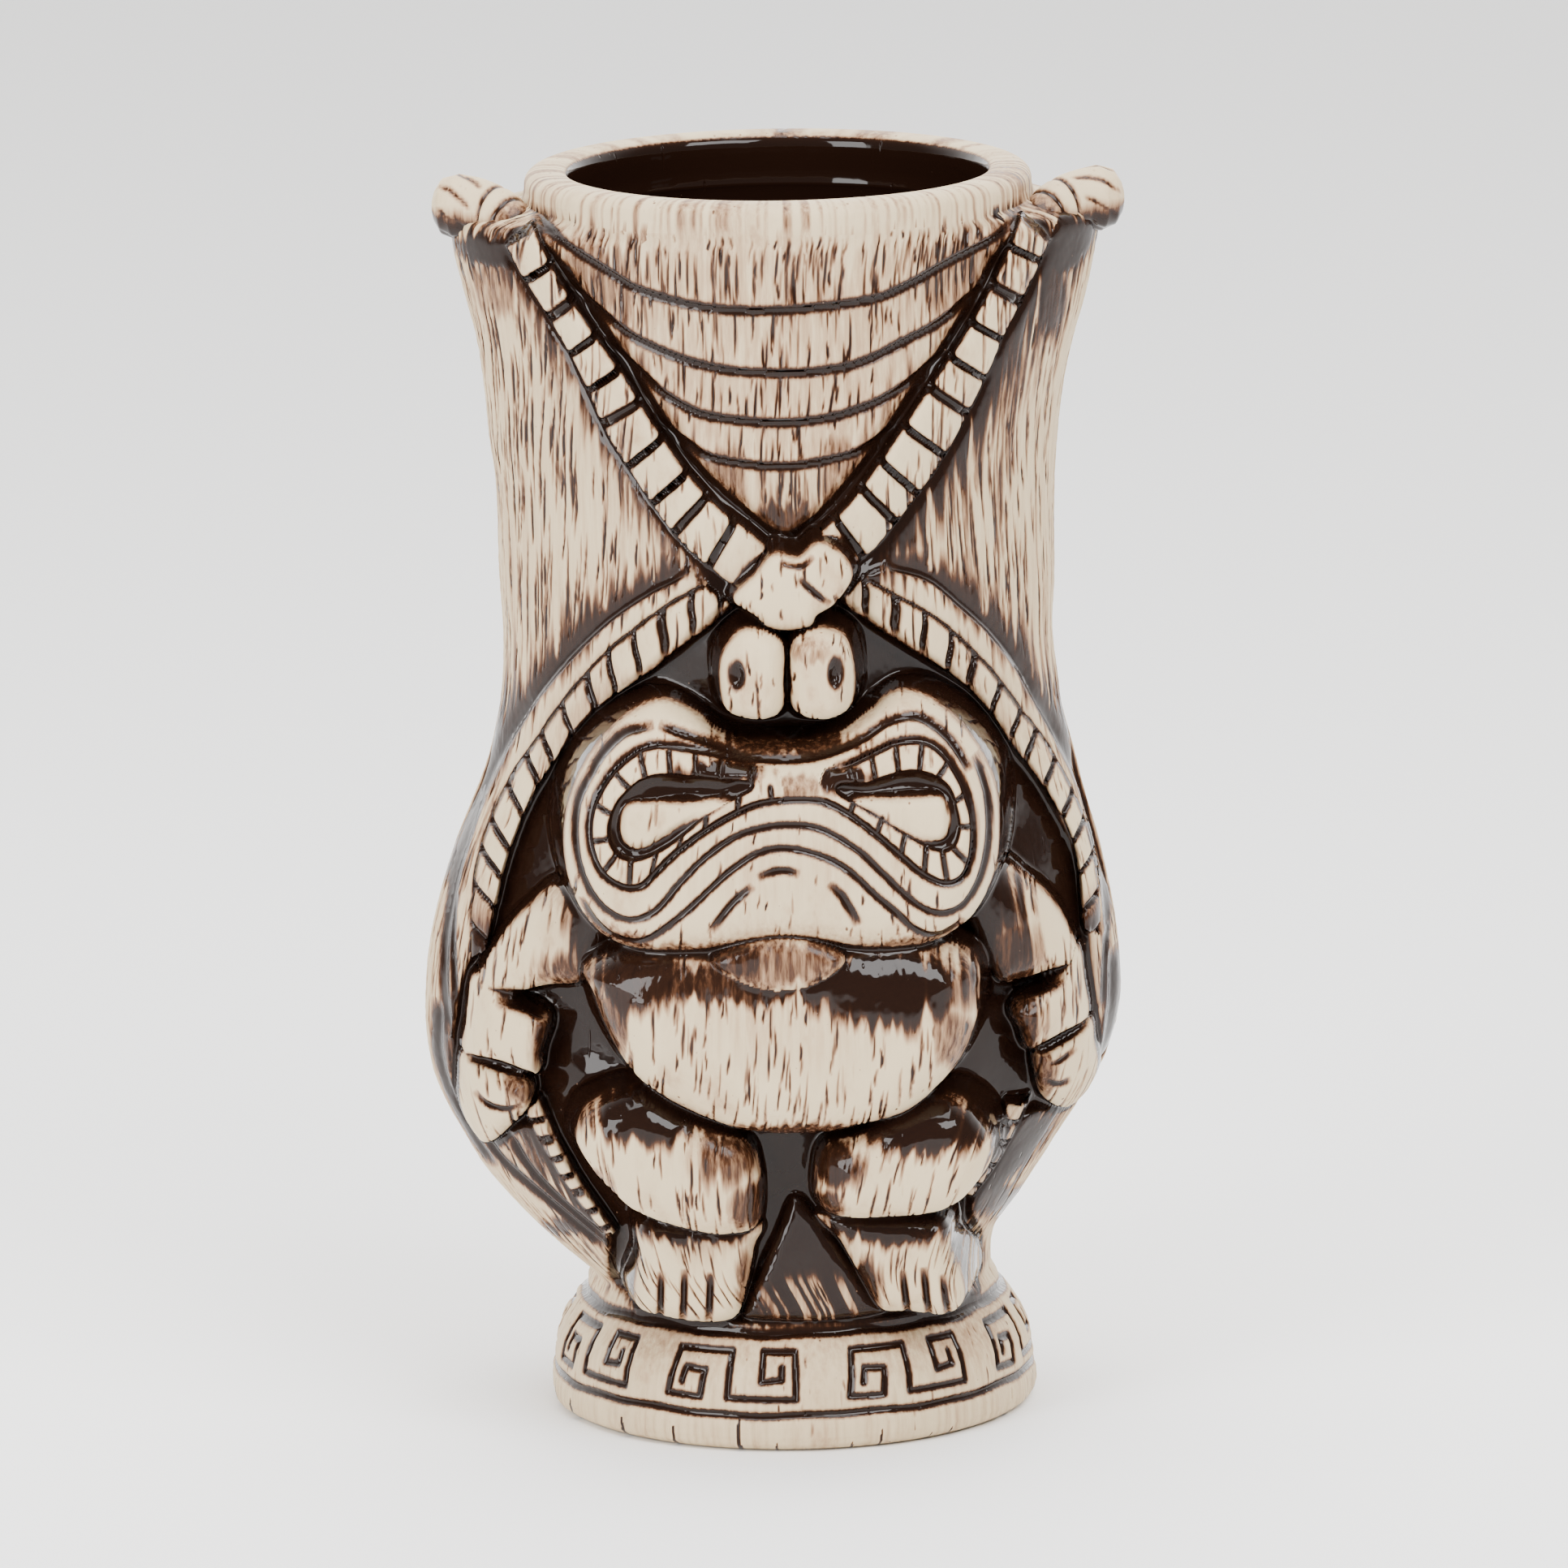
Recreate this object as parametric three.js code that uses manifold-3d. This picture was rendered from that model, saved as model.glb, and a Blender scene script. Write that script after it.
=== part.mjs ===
// A slip-cast ceramic tiki mug, built from its modelled features: the cup, its foot ring, the rope
// headband with its two horns, the brow ropes, and the squat carved figure on the front.
// Units are millimetres. +Z is up, the figure faces -Y, and the origin is the middle of the flat
// underside, on the cup's axis. Every outline below is drawn in front elevation as [x, z] points.
import * as THREE from "three";
import { mergeVertices } from "three/addons/utils/BufferGeometryUtils.js";
import Module from "manifold-3d";

const wasm = await Module();
wasm.setup();

// Driving dimensions.
const HEIGHT = 180; // foot to lip
const MOUTH_RADIUS = 29.5; // clear opening at the lip
const WALL = 4.5; // casting thickness
const FLOOR = 5; // thickness of the cup's floor
const FOOT_HEIGHT = 17; // the flared foot, up to the neck
const CORE_FOOT_RADIUS = 25; // the cup inside the foot ring
const GAP = 0.3; // clearance between neighbouring pieces
const AROUND = 48; // segments round the cup
const BACK_OF_RELIEF = -8; // relief pieces are extruded from this Y, inside the cup, towards -Y
const ROPE_STEPS = 14; // steps along a rope
const ROPE_SIDES = 10; // sides of a rope's oval section
const ROPE_BED = 0.5; // a rope's middle line is sunk this far into the cup
const HORN_RADIUS = 4.3;
const HORN_SIDES = 14;
const HORN_TIP = { x: 44.6, y: -2, z: 174.8 }; // middle of the rounded end
const NECK_RADIUS = 28.4; // the cup just over the foot ring
const LIP_RADIUS = 31.2; // inner edge of the lip's flat top
const FRONT_OF_ALL = -60; // a column cut from a piece starts at this Y, in front of the mug

const CLAY = new THREE.MeshStandardMaterial({ color: 0xddc9ac, roughness: 0.62, metalness: 0 });
const STAINED_CLAY = new THREE.MeshStandardMaterial({ color: 0xb59273, roughness: 0.5, metalness: 0 });

// The cup's section at each height: half width, core radius, depth to the front, depth to the back,
// sideways shift of the section, and the power that draws the half width out into side fins.
const SECTIONS = [
  { z: FOOT_HEIGHT, half: 28.9, core: 28.9, front: 28.9, back: 28.9, shift: 0, power: 2 },
  { z: 20, half: 29.1, core: 29.1, front: 29.1, back: 29.1, shift: -0.2, power: 2 },
  { z: 28, half: 34.3, core: 31.2, front: 31, back: 31.5, shift: -1.6, power: 2 },
  { z: 40, half: 42.3, core: 34.5, front: 33.5, back: 35, shift: -2.6, power: 2 },
  { z: 50, half: 48.1, core: 36.5, front: 34.8, back: 37, shift: -2.6, power: 2 },
  { z: 60, half: 49.8, core: 37, front: 35, back: 37.5, shift: -2.1, power: 2 },
  { z: 74, half: 47.8, core: 36.5, front: 35, back: 37, shift: -2, power: 2 },
  { z: 88, half: 43.7, core: 35.5, front: 35, back: 36, shift: -1.1, power: 2.4 },
  { z: 106, half: 39.5, core: 34.5, front: 34.5, back: 35, shift: -0.6, power: 3 },
  { z: 134, half: 39.5, core: 34, front: 34, back: 34.5, shift: -0.9, power: 4 },
  { z: 155, half: 42, core: 34.6, front: 34.6, back: 34.8, shift: -0.5, power: 5 },
  { z: 166, half: 45.2, core: 35.2, front: 35.2, back: 35.2, shift: -0.3, power: 6 },
  { z: 173, half: 46.5, core: 35.8, front: 35.8, back: 35.8, shift: 0, power: 7 },
  { z: 176, half: 36.2, core: 36.2, front: 36.2, back: 36.2, shift: 0, power: 7 },
  { z: 178.6, half: 35.8, core: 35.8, front: 35.8, back: 35.8, shift: 0, power: 7 },
  { z: HEIGHT, half: 33.6, core: 33.6, front: 33.6, back: 33.6, shift: 0, power: 7 },
];

function sectionAt(z) {
  const clamped = Math.min(Math.max(z, SECTIONS[0].z), HEIGHT);
  const upper = Math.max(1, SECTIONS.findIndex((s) => s.z >= clamped));
  const [low, high] = [SECTIONS[upper - 1], SECTIONS[upper]];
  const share = (clamped - low.z) / (high.z - low.z);
  const at = (key) => THREE.MathUtils.lerp(low[key], high[key], share);
  return {
    half: at("half"),
    core: at("core"),
    front: at("front"),
    back: at("back"),
    shift: at("shift"),
    power: at("power"),
  };
}

// A point of the section at angle (0 faces -Y, a quarter turn faces +X), moved outwards by grow.
function sectionPoint(z, angle, grow = 0) {
  const { half, core, front, back, shift, power } = sectionAt(z);
  const side = Math.sin(angle);
  const ahead = Math.cos(angle);
  const reach = core + (half - core) * Math.abs(side) ** power + grow;
  const depth = (ahead > 0 ? front : back) + grow;
  return new THREE.Vector3(shift + side * reach, -ahead * depth, z);
}

// Y of the cup's front at a place in front elevation.
function frontY(x, z) {
  let [low, high] = [-Math.PI / 2, Math.PI / 2];
  for (let i = 0; i < 30; i += 1) {
    const middle = (low + high) / 2;
    if (sectionPoint(z, middle).x < x) low = middle;
    else high = middle;
  }
  return sectionPoint(z, (low + high) / 2).y;
}

// A closed solid through rings of points, from a pole under the first ring to a pole over the last.
function loftSolid(rings, firstPole, lastPole) {
  const count = rings[0].length;
  const points = [firstPole, ...rings.flat(), lastPole];
  const last = points.length - 1;
  const triangles = [];
  for (let i = 0; i < count; i += 1) {
    const next = (i + 1) % count;
    triangles.push(0, 1 + next, 1 + i);
    for (let r = 0; r + 1 < rings.length; r += 1) {
      const [a, b] = [1 + r * count + i, 1 + r * count + next];
      triangles.push(a, b, b + count, a, b + count, a + count);
    }
    triangles.push(1 + (rings.length - 1) * count + i, 1 + (rings.length - 1) * count + next, last);
  }
  const geometry = new THREE.BufferGeometry().setFromPoints(points);
  geometry.setIndex(triangles);
  return geometry;
}

function toManifold(geometry) {
  const bare = new THREE.BufferGeometry();
  bare.setAttribute("position", geometry.getAttribute("position"));
  bare.setIndex(geometry.index);
  const merged = mergeVertices(bare, 1e-4);
  return new wasm.Manifold(
    new wasm.Mesh({
      numProp: 3,
      vertProperties: new Float32Array(merged.attributes.position.array),
      triVerts: new Uint32Array(merged.index.array),
    }),
  );
}

// Booleans can shave slivers off a piece's edge, so only its largest body is kept.
function largestBody(solid) {
  const bodies = solid.decompose();
  return bodies.reduce((best, body) => (body.volume() > best.volume() ? body : best));
}

const mug = new THREE.Group();

function addPiece(name, solid, material = CLAY) {
  const { vertProperties, triVerts } = largestBody(solid).getMesh();
  const geometry = new THREE.BufferGeometry();
  geometry.setAttribute("position", new THREE.BufferAttribute(new Float32Array(vertProperties), 3));
  geometry.setIndex(new THREE.BufferAttribute(new Uint32Array(triVerts), 1));
  geometry.computeVertexNormals();
  const mesh = new THREE.Mesh(geometry, material);
  mesh.name = name;
  mug.add(mesh);
}

// --- Cup ---------------------------------------------------------------------------------------

const angles = Array.from({ length: AROUND }, (_, i) => (i / AROUND) * 2 * Math.PI);
const circle = (z, radius) =>
  angles.map((a) => new THREE.Vector3(radius * Math.sin(a), -radius * Math.cos(a), z));
const sectionRing = (z, grow = 0) => angles.map((a) => sectionPoint(z, a, grow));

const OUTER_LEVELS = [
  20, 24, 28, 34, 40, 50, 60, 67, 74, 81, 88, 97, 106, 120, 134, 145, 155, 162, 168, 173, 176,
  178.6, HEIGHT,
];
const INNER_LEVELS = [155, 134, 106, 88, 74, 60, 50, 40, 28, 20];

// The neck of the cup stands inside the foot ring, so its lowest rings are plain circles.
function cupSolid() {
  const outside = [
    circle(0, CORE_FOOT_RADIUS),
    circle(FOOT_HEIGHT, CORE_FOOT_RADIUS),
    circle(FOOT_HEIGHT + GAP, NECK_RADIUS),
    ...OUTER_LEVELS.map((z) => sectionRing(z)),
  ];
  const inside = [
    circle(HEIGHT, LIP_RADIUS),
    circle(HEIGHT - 1.6, MOUTH_RADIUS),
    circle(HEIGHT - 8, MOUTH_RADIUS + 0.4),
    ...INNER_LEVELS.map((z) => sectionRing(z, -WALL)),
    circle(FLOOR + 3, CORE_FOOT_RADIUS - WALL),
    circle(FLOOR, CORE_FOOT_RADIUS - WALL - 3),
  ];
  return toManifold(
    loftSolid([...outside, ...inside], new THREE.Vector3(0, 0, 0), new THREE.Vector3(0, 0, FLOOR)),
  );
}
addPiece("cup", cupSolid());

// Everything that relief pieces must stay clear of: the cup without its hollow, grown by the gap.
const cupClearance = toManifold(
  loftSolid(
    [circle(FOOT_HEIGHT + GAP, NECK_RADIUS + 2 * GAP), ...OUTER_LEVELS.map((z) => sectionRing(z, GAP))],
    new THREE.Vector3(0, 0, FOOT_HEIGHT + GAP),
    new THREE.Vector3(0, 0, HEIGHT),
  ),
);

// --- Foot ring -----------------------------------------------------------------------------------

// Its key-pattern band is a straight flare between two ring grooves.
const FOOT_PROFILE = [
  [CORE_FOOT_RADIUS + GAP, 0],
  [33.4, 0],
  [34.8, 0.7],
  [35.2, 2.4],
  [34.8, 5],
  [34.2, 5.4],
  [34.5, 6],
  [33.9, 10],
  [32.4, 13],
  [30.6, 16],
  [30, 16.4],
  [29.6, FOOT_HEIGHT],
  [CORE_FOOT_RADIUS + GAP, FOOT_HEIGHT],
  [CORE_FOOT_RADIUS + GAP, 0],
];
const footRing = new THREE.LatheGeometry(
  FOOT_PROFILE.map(([radius, z]) => new THREE.Vector2(radius, z)),
  AROUND,
);
footRing.rotateX(Math.PI / 2); // the lathe turns about +Y, and the mug stands along +Z
addPiece("foot_ring", toManifold(footRing));

// --- Relief pieces ------------------------------------------------------------------------------

const smooth = (outline, steps) =>
  new THREE.CatmullRomCurve3(
    outline.map(([x, z]) => new THREE.Vector3(x, z, 0)),
    true,
    "centripetal",
  )
    .getPoints(steps)
    .slice(0, -1)
    .map((p) => new THREE.Vector2(p.x, p.y));

// Moves a closed outline outwards by a distance, point by point along its normals.
function grown(points, distance) {
  const turn = Math.sign(THREE.ShapeUtils.area(points));
  return points.map((p, i) => {
    const before = points[(i + points.length - 1) % points.length];
    const after = points[(i + 1) % points.length];
    const along = after.clone().sub(before).normalize();
    return new THREE.Vector2(p.x + along.y * distance * turn, p.y - along.x * distance * turn);
  });
}

// A prism of an outline along Y, from the back of the relief to front.
function prism(points, front, back = BACK_OF_RELIEF) {
  const geometry = new THREE.ExtrudeGeometry(new THREE.Shape(points), {
    depth: back - front,
    bevelEnabled: false,
  });
  geometry.rotateX(Math.PI / 2); // the shape's second axis becomes +Z, and the depth runs to -Y
  geometry.translate(0, back, 0);
  return toManifold(geometry);
}

// An ellipsoid whose front pole is at peak and whose half axes are wide, deep and tall.
function dome({ x, z, peak, wide, deep, tall }) {
  const geometry = new THREE.SphereGeometry(1, 24, 14);
  geometry.scale(wide, deep, tall);
  geometry.translate(x, peak + deep, z);
  return toManifold(geometry);
}

const NOSE_LEFT = [
  [-4.5, 120.3], [-7.5, 118.5], [-8.8, 114], [-7.6, 109.8], [-4, 108.6], [-0.7, 109.6],
  [-0.4, 114], [-1, 118.6],
];
const NOSE_RIGHT = [
  [4.8, 119.8], [1.6, 118.6], [1, 114], [1.4, 109.4], [5, 108.5], [8.6, 109.6], [9.3, 114],
  [8, 118.4],
];
const KNOT = [
  [-1, 130.8], [3.5, 132], [8.8, 128], [6.5, 124], [3, 120.8], [-1.5, 120.6], [-6.2, 124.6],
];
const EYE_LEFT = [
  [-23.8, 96.5], [-23.6, 92.4], [-21, 90.6], [-17, 91.5], [-10, 96], [-6, 98.4], [-12, 99.8],
  [-19, 99.4],
];
const EYE_RIGHT = [
  [23, 97.5], [22.8, 92.5], [20.5, 90.8], [17, 92], [11.5, 95.5], [8, 98.2], [13, 99.3],
  [19, 99.2],
];
const EYE_RING_LEFT = [
  [-2, 102], [-8, 102.8], [-15, 104.8], [-21, 104.2], [-26, 100.3], [-27.9, 94], [-26.6, 88],
  [-22.8, 84.2], [-18, 86.5], [-12, 92], [-6, 96], [-1.5, 97.2],
];
const EYE_RING_RIGHT = [
  [5.8, 101.2], [10, 102.4], [15, 104.8], [20, 104.2], [24.8, 100], [26.4, 94], [25.8, 88],
  [22.8, 84.6], [18, 87], [13, 91.4], [8, 95.2], [5.5, 97.4],
];
const FACE = [
  [0, 104], [6, 104.3], [11, 107.4], [16, 109.4], [22, 107], [27, 101.5], [29.6, 94], [29, 85],
  [25, 77.8], [18, 74.4], [9, 73.6], [0, 74.5], [-8, 73.6], [-16, 72.8], [-23, 75], [-28.4, 80],
  [-31.4, 88], [-31, 95], [-28, 101], [-23, 107], [-17, 109.6], [-11, 107.6], [-6, 105],
];
const CHIN = [
  [-10.5, 73.4], [-6, 76.5], [0, 77.5], [5, 76], [7, 73.5], [4, 70], [-1, 68.7], [-6, 69.9],
];
const BELLY = [
  [-24.5, 73], [-27.4, 68], [-25.6, 62.3], [-21, 55.7], [-14, 50.5], [-6, 47.8], [2, 47.2],
  [10, 48.4], [18, 51], [24, 57], [26.6, 64], [26.2, 70], [23, 73.5], [12, 76], [-12, 76],
];
const UPPER_ARM_LEFT = [
  [-26.5, 79], [-33, 76.8], [-38.5, 72.8], [-42, 68.5], [-43.6, 65.6], [-38, 65], [-32, 66.3],
  [-27.5, 69.5],
];
const FOREARM_LEFT = [
  [-43.8, 65], [-45.6, 60.5], [-46.6, 56], [-43.5, 54.9], [-39, 55], [-36, 54.2], [-34.6, 58],
  [-33.6, 62], [-37, 64],
];
const HAND_LEFT = [
  [-46.8, 54.8], [-47.8, 50], [-47.4, 46], [-45.4, 42.4], [-43.2, 41.2], [-40, 44.2],
  [-37.4, 48], [-36.2, 51.5], [-37.5, 53.8], [-41, 54.4],
];
const UPPER_ARM_RIGHT = [
  [25, 79.5], [29, 80], [34, 77.6], [38.5, 73.5], [41, 68.5], [41.6, 65.8], [36, 66.2],
  [31, 65.6], [27.5, 69],
];
const FOREARM_RIGHT = [
  [41.8, 65], [42.2, 61], [42.8, 58.4], [39.5, 56.6], [34.8, 55.8], [33, 59], [31, 62],
  [34.5, 64.6],
];
const HAND_RIGHT = [
  [43, 57.4], [44.2, 52.5], [44.4, 49], [42.8, 45.6], [40, 44.4], [37, 46.4], [35.2, 50],
  [34.6, 54], [38, 55.6],
];
const THIGH_LEFT = [
  [-31, 53], [-31, 47], [-28.4, 42], [-24.4, 37.4], [-18, 34], [-10, 32.6], [-5.4, 33.6],
  [-4.6, 40], [-4, 46], [-12, 50], [-22, 56],
];
const THIGH_RIGHT = [
  [29.4, 52], [29, 44], [26.6, 39.2], [21, 35.8], [12, 34.8], [5, 34.8], [4, 40], [4.2, 45.4],
  [12, 49], [22, 54.5],
];
const FOOT_LEFT = [
  [-20.5, 34], [-22.4, 27], [-22.8, 22], [-20.5, 19.2], [-14, 18.2], [-8.5, 18.4], [-6.6, 21.5],
  [-5.2, 28], [-4.6, 33],
];
const FOOT_RIGHT = [
  [4.4, 34], [8, 29], [11, 24], [13.6, 20], [18, 19.6], [22.6, 18.8], [24.4, 21.5], [23.6, 27],
  [21, 33.6],
];

const placed = []; // columns that are already taken, seen from the front

// One relief piece: its outline as a prism, rounded by an ellipsoid, cut back from the cup and from
// the pieces that were placed before it.
function addRelief(name, outline, shape, material = CLAY) {
  const points = smooth(outline, outline.length * 2);
  let solid = prism(points, shape.peak - 1).intersect(dome(shape)).subtract(cupClearance);
  for (const taken of placed) solid = solid.subtract(taken);
  addPiece(name, solid, material);
  placed.push(prism(grown(points, GAP), FRONT_OF_ALL, 0));
}

addRelief("nose_left", NOSE_LEFT, { x: -4.6, z: 114.5, peak: -43, wide: 6, deep: 12, tall: 8 });
addRelief("nose_right", NOSE_RIGHT, { x: 5.1, z: 114.2, peak: -43, wide: 6, deep: 12, tall: 8 });
addRelief("forehead_knot", KNOT, { x: 1, z: 126, peak: -41, wide: 12, deep: 14, tall: 10 });
addRelief("eye_left", EYE_LEFT, { x: -17, z: 95, peak: -39.5, wide: 14, deep: 12, tall: 8 });
addRelief("eye_right", EYE_RIGHT, { x: 17, z: 95, peak: -39.5, wide: 14, deep: 12, tall: 8 });
addRelief("eye_ring_left", EYE_RING_LEFT, { x: -10, z: 94, peak: -43, wide: 30, deep: 22, tall: 22 });
addRelief("eye_ring_right", EYE_RING_RIGHT, { x: 10, z: 94, peak: -43, wide: 30, deep: 22, tall: 22 });
addRelief("face", FACE, { x: -1, z: 88, peak: -46, wide: 35, deep: 32, tall: 24 });
addRelief("chin_roll", CHIN, { x: -1.5, z: 73, peak: -43, wide: 12, deep: 14, tall: 7 });
addRelief("belly", BELLY, { x: -0.5, z: 63, peak: -45, wide: 31, deep: 26, tall: 19 });
addRelief("upper_arm_left", UPPER_ARM_LEFT, { x: -33, z: 71, peak: -34, wide: 14, deep: 34, tall: 10 });
addRelief("upper_arm_right", UPPER_ARM_RIGHT, { x: 32, z: 72, peak: -34, wide: 14, deep: 34, tall: 10 });
addRelief("forearm_left", FOREARM_LEFT, { x: -39.5, z: 59, peak: -32, wide: 9, deep: 34, tall: 11 });
addRelief("forearm_right", FOREARM_RIGHT, { x: 37, z: 60, peak: -32, wide: 9, deep: 34, tall: 11 });
addRelief("hand_left", HAND_LEFT, { x: -41.5, z: 49, peak: -31, wide: 9, deep: 34, tall: 11 });
addRelief("hand_right", HAND_RIGHT, { x: 39, z: 50.5, peak: -31, wide: 9, deep: 34, tall: 11 });
addRelief("thigh_left", THIGH_LEFT, { x: -16, z: 44, peak: -42, wide: 20, deep: 32, tall: 15 });
addRelief("thigh_right", THIGH_RIGHT, { x: 15.5, z: 44, peak: -42, wide: 20, deep: 32, tall: 15 });
addRelief("foot_left", FOOT_LEFT, { x: -13.5, z: 25, peak: -37, wide: 14, deep: 20, tall: 12 });
addRelief("foot_right", FOOT_RIGHT, { x: 15, z: 25, peak: -37, wide: 14, deep: 20, tall: 12 });

// --- Ropes ---------------------------------------------------------------------------------------

// A flattened rope laid on the cup: an oval section swept along a line drawn in front elevation.
function ropeSolid(line, halfWidth, rise, steps = ROPE_STEPS) {
  const curve = new THREE.CatmullRomCurve3(
    line.map(([x, z]) => new THREE.Vector3(x, frontY(x, z) + ROPE_BED, z)),
    false,
    "centripetal",
  );
  const oval = new THREE.Shape(
    Array.from({ length: ROPE_SIDES }, (_, i) => {
      const a = (i / ROPE_SIDES) * 2 * Math.PI;
      return new THREE.Vector2(rise * Math.cos(a), halfWidth * Math.sin(a));
    }),
  );
  return toManifold(
    new THREE.ExtrudeGeometry(oval, { steps, extrudePath: curve, bevelEnabled: false }),
  );
}

function addRope(name, line, halfWidth, rise, steps) {
  let solid = ropeSolid(line, halfWidth, rise, steps).subtract(cupClearance);
  for (const taken of placed) solid = solid.subtract(taken);
  addPiece(name, solid, STAINED_CLAY);
  placed.push(prism(bandOutline(line, halfWidth + GAP), FRONT_OF_ALL, -FRONT_OF_ALL / 2));
}

// The outline of a band of constant half width along an open line.
function bandOutline(line, halfWidth) {
  const curve = new THREE.CatmullRomCurve3(
    line.map(([x, z]) => new THREE.Vector3(x, z, 0)),
    false,
    "centripetal",
  );
  const shares = Array.from({ length: ROPE_STEPS + 1 }, (_, i) => i / ROPE_STEPS);
  const edge = (side) =>
    shares.map((t) => {
      const [p, along] = [curve.getPoint(t), curve.getTangent(t)];
      return new THREE.Vector2(p.x - along.y * side * halfWidth, p.y + along.x * side * halfWidth);
    });
  return [...edge(1), ...edge(-1).reverse()];
}

const HEADBAND_LEFT = [
  [-35, 170.5], [-31.2, 164], [-27, 157], [-22, 149], [-17.2, 142], [-12, 136], [-5.5, 129.6],
];
const HEADBAND_RIGHT = [
  [35, 170], [31.2, 164], [27, 156.4], [21.6, 147.6], [17, 141], [11.4, 134.4], [7, 130],
];
const BROW_LEFT = [
  [-9.5, 122.6], [-15, 119.8], [-19.5, 116.3], [-25, 111.5], [-30, 105.5], [-34.6, 98.5],
  [-38.4, 92], [-41.2, 85.5], [-42.6, 79.5], [-43, 74],
];
const BROW_RIGHT = [
  [10, 122.8], [15, 120], [20.5, 116.3], [25.6, 111.2], [30, 105.5], [34.4, 98.6], [38, 91.5],
  [41, 84.6], [42.4, 78], [42.8, 70],
];
const SIDE_ROPE_LEFT = [[-35.6, 46.4], [-33.4, 41.4], [-30.6, 36.4], [-27.4, 31.4]];
const SIDE_ROPE_RIGHT = [[32.4, 46], [30.6, 42], [28.2, 38.2], [25.6, 35], [23, 31.8]];

addRope("headband_left", HEADBAND_LEFT, 3.5, 3.2);
addRope("headband_right", HEADBAND_RIGHT, 3.5, 3.2);
addRope("brow_rope_left", BROW_LEFT, 2.6, 2.8, ROPE_STEPS + 4);
addRope("brow_rope_right", BROW_RIGHT, 2.6, 2.8, ROPE_STEPS + 4);
addRope("side_rope_left", SIDE_ROPE_LEFT, 1.5, 2, 8);
addRope("side_rope_right", SIDE_ROPE_RIGHT, 1.5, 2, 8);

// --- Horns: the rope ends that stand out sideways over the fins ------------------------------------

function hornSolid(side) {
  const curve = new THREE.CatmullRomCurve3([
    new THREE.Vector3(side * 36.5, -9, 171.5),
    new THREE.Vector3(side * 39, -6, 174),
    new THREE.Vector3(side * 42, -3.5, 174.9),
    new THREE.Vector3(side * HORN_TIP.x, HORN_TIP.y, HORN_TIP.z),
  ]);
  const section = new THREE.Shape(
    Array.from({ length: HORN_SIDES }, (_, i) => {
      const a = (i / HORN_SIDES) * 2 * Math.PI;
      return new THREE.Vector2(HORN_RADIUS * Math.cos(a), HORN_RADIUS * Math.sin(a));
    }),
  );
  const stem = toManifold(
    new THREE.ExtrudeGeometry(section, { steps: 8, extrudePath: curve, bevelEnabled: false }),
  );
  const tip = new THREE.SphereGeometry(HORN_RADIUS, 16, 10);
  tip.translate(side * HORN_TIP.x, HORN_TIP.y, HORN_TIP.z);
  return stem.add(toManifold(tip));
}

for (const [name, side] of [["horn_left", -1], ["horn_right", 1]]) {
  let solid = hornSolid(side).subtract(cupClearance);
  for (const taken of placed) solid = solid.subtract(taken);
  addPiece(name, solid, STAINED_CLAY);
}

export default mug;
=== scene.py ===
"""Tiki mug: the glazed ceramic surface, modelled as one continuous skin and cut into its features.

Lengths in the modelling code are millimetres in the CAD frame: x to the right, z up, and depth is the
distance towards the viewer, -y. Meshes are written in metres.
"""
import math

import bpy
import numpy as np
from mathutils import Matrix, Vector


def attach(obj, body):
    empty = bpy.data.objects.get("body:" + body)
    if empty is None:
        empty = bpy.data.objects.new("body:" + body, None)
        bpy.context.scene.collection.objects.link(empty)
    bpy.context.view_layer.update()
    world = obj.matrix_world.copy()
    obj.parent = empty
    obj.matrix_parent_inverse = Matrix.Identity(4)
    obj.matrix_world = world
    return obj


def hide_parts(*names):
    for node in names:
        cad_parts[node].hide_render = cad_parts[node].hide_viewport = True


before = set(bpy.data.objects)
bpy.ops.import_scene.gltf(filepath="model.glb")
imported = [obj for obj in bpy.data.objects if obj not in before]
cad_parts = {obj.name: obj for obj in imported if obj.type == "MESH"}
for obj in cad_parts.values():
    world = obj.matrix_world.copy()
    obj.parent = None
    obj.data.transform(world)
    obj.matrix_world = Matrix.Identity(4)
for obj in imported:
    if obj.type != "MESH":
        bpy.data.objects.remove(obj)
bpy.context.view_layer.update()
MM = 0.001
rng = np.random.default_rng(7)

# Driving dimensions, mm.
HEIGHT = 180.0
FOOT_TOP = 17.0
SHOULDER = 173.0  # where the cup starts to round in to its lip
LIP_START = 176.0
LIP_INNER = 29.6
RECESS_RADIUS = 29.0
RECESS_DEPTH = 0.9
WALL = 5.2  # the casting, with the relief's bed
FRONT_WALL = 5.0
INNER_LIMIT = 30.3  # the cavity is nowhere wider than this from its axis, but at the sides
CAVITY_BOTTOM = 6.1
# The grid: how far apart its columns are in front and behind and its rows, in mm.
FRONT_STEP = 0.2
BACK_STEP = 0.62
ROW_STEP = 0.27
GIRTH = 38.0  # radius at which the column steps are measured
FRONT_REACH = 1.68  # half angle of the fine columns, in radians
STREAK_SAMPLE = 400  # columns that the streaks' spread is measured on
# Numbers of carved strokes.
GRAIN_STROKES = 3300
RIM_STROKES = 150

LEFT, RIGHT = -1, 1


# --- Camera, lights and floor ---

CAMERA_PLACE = Vector((0.0, -1.800, 0.466))
CAMERA_AIM = Vector((-0.0003, 0.0, 0.0900))
CAMERA_LENS = 293.6
CAMERA_ROLL = math.radians(0.8)

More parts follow.
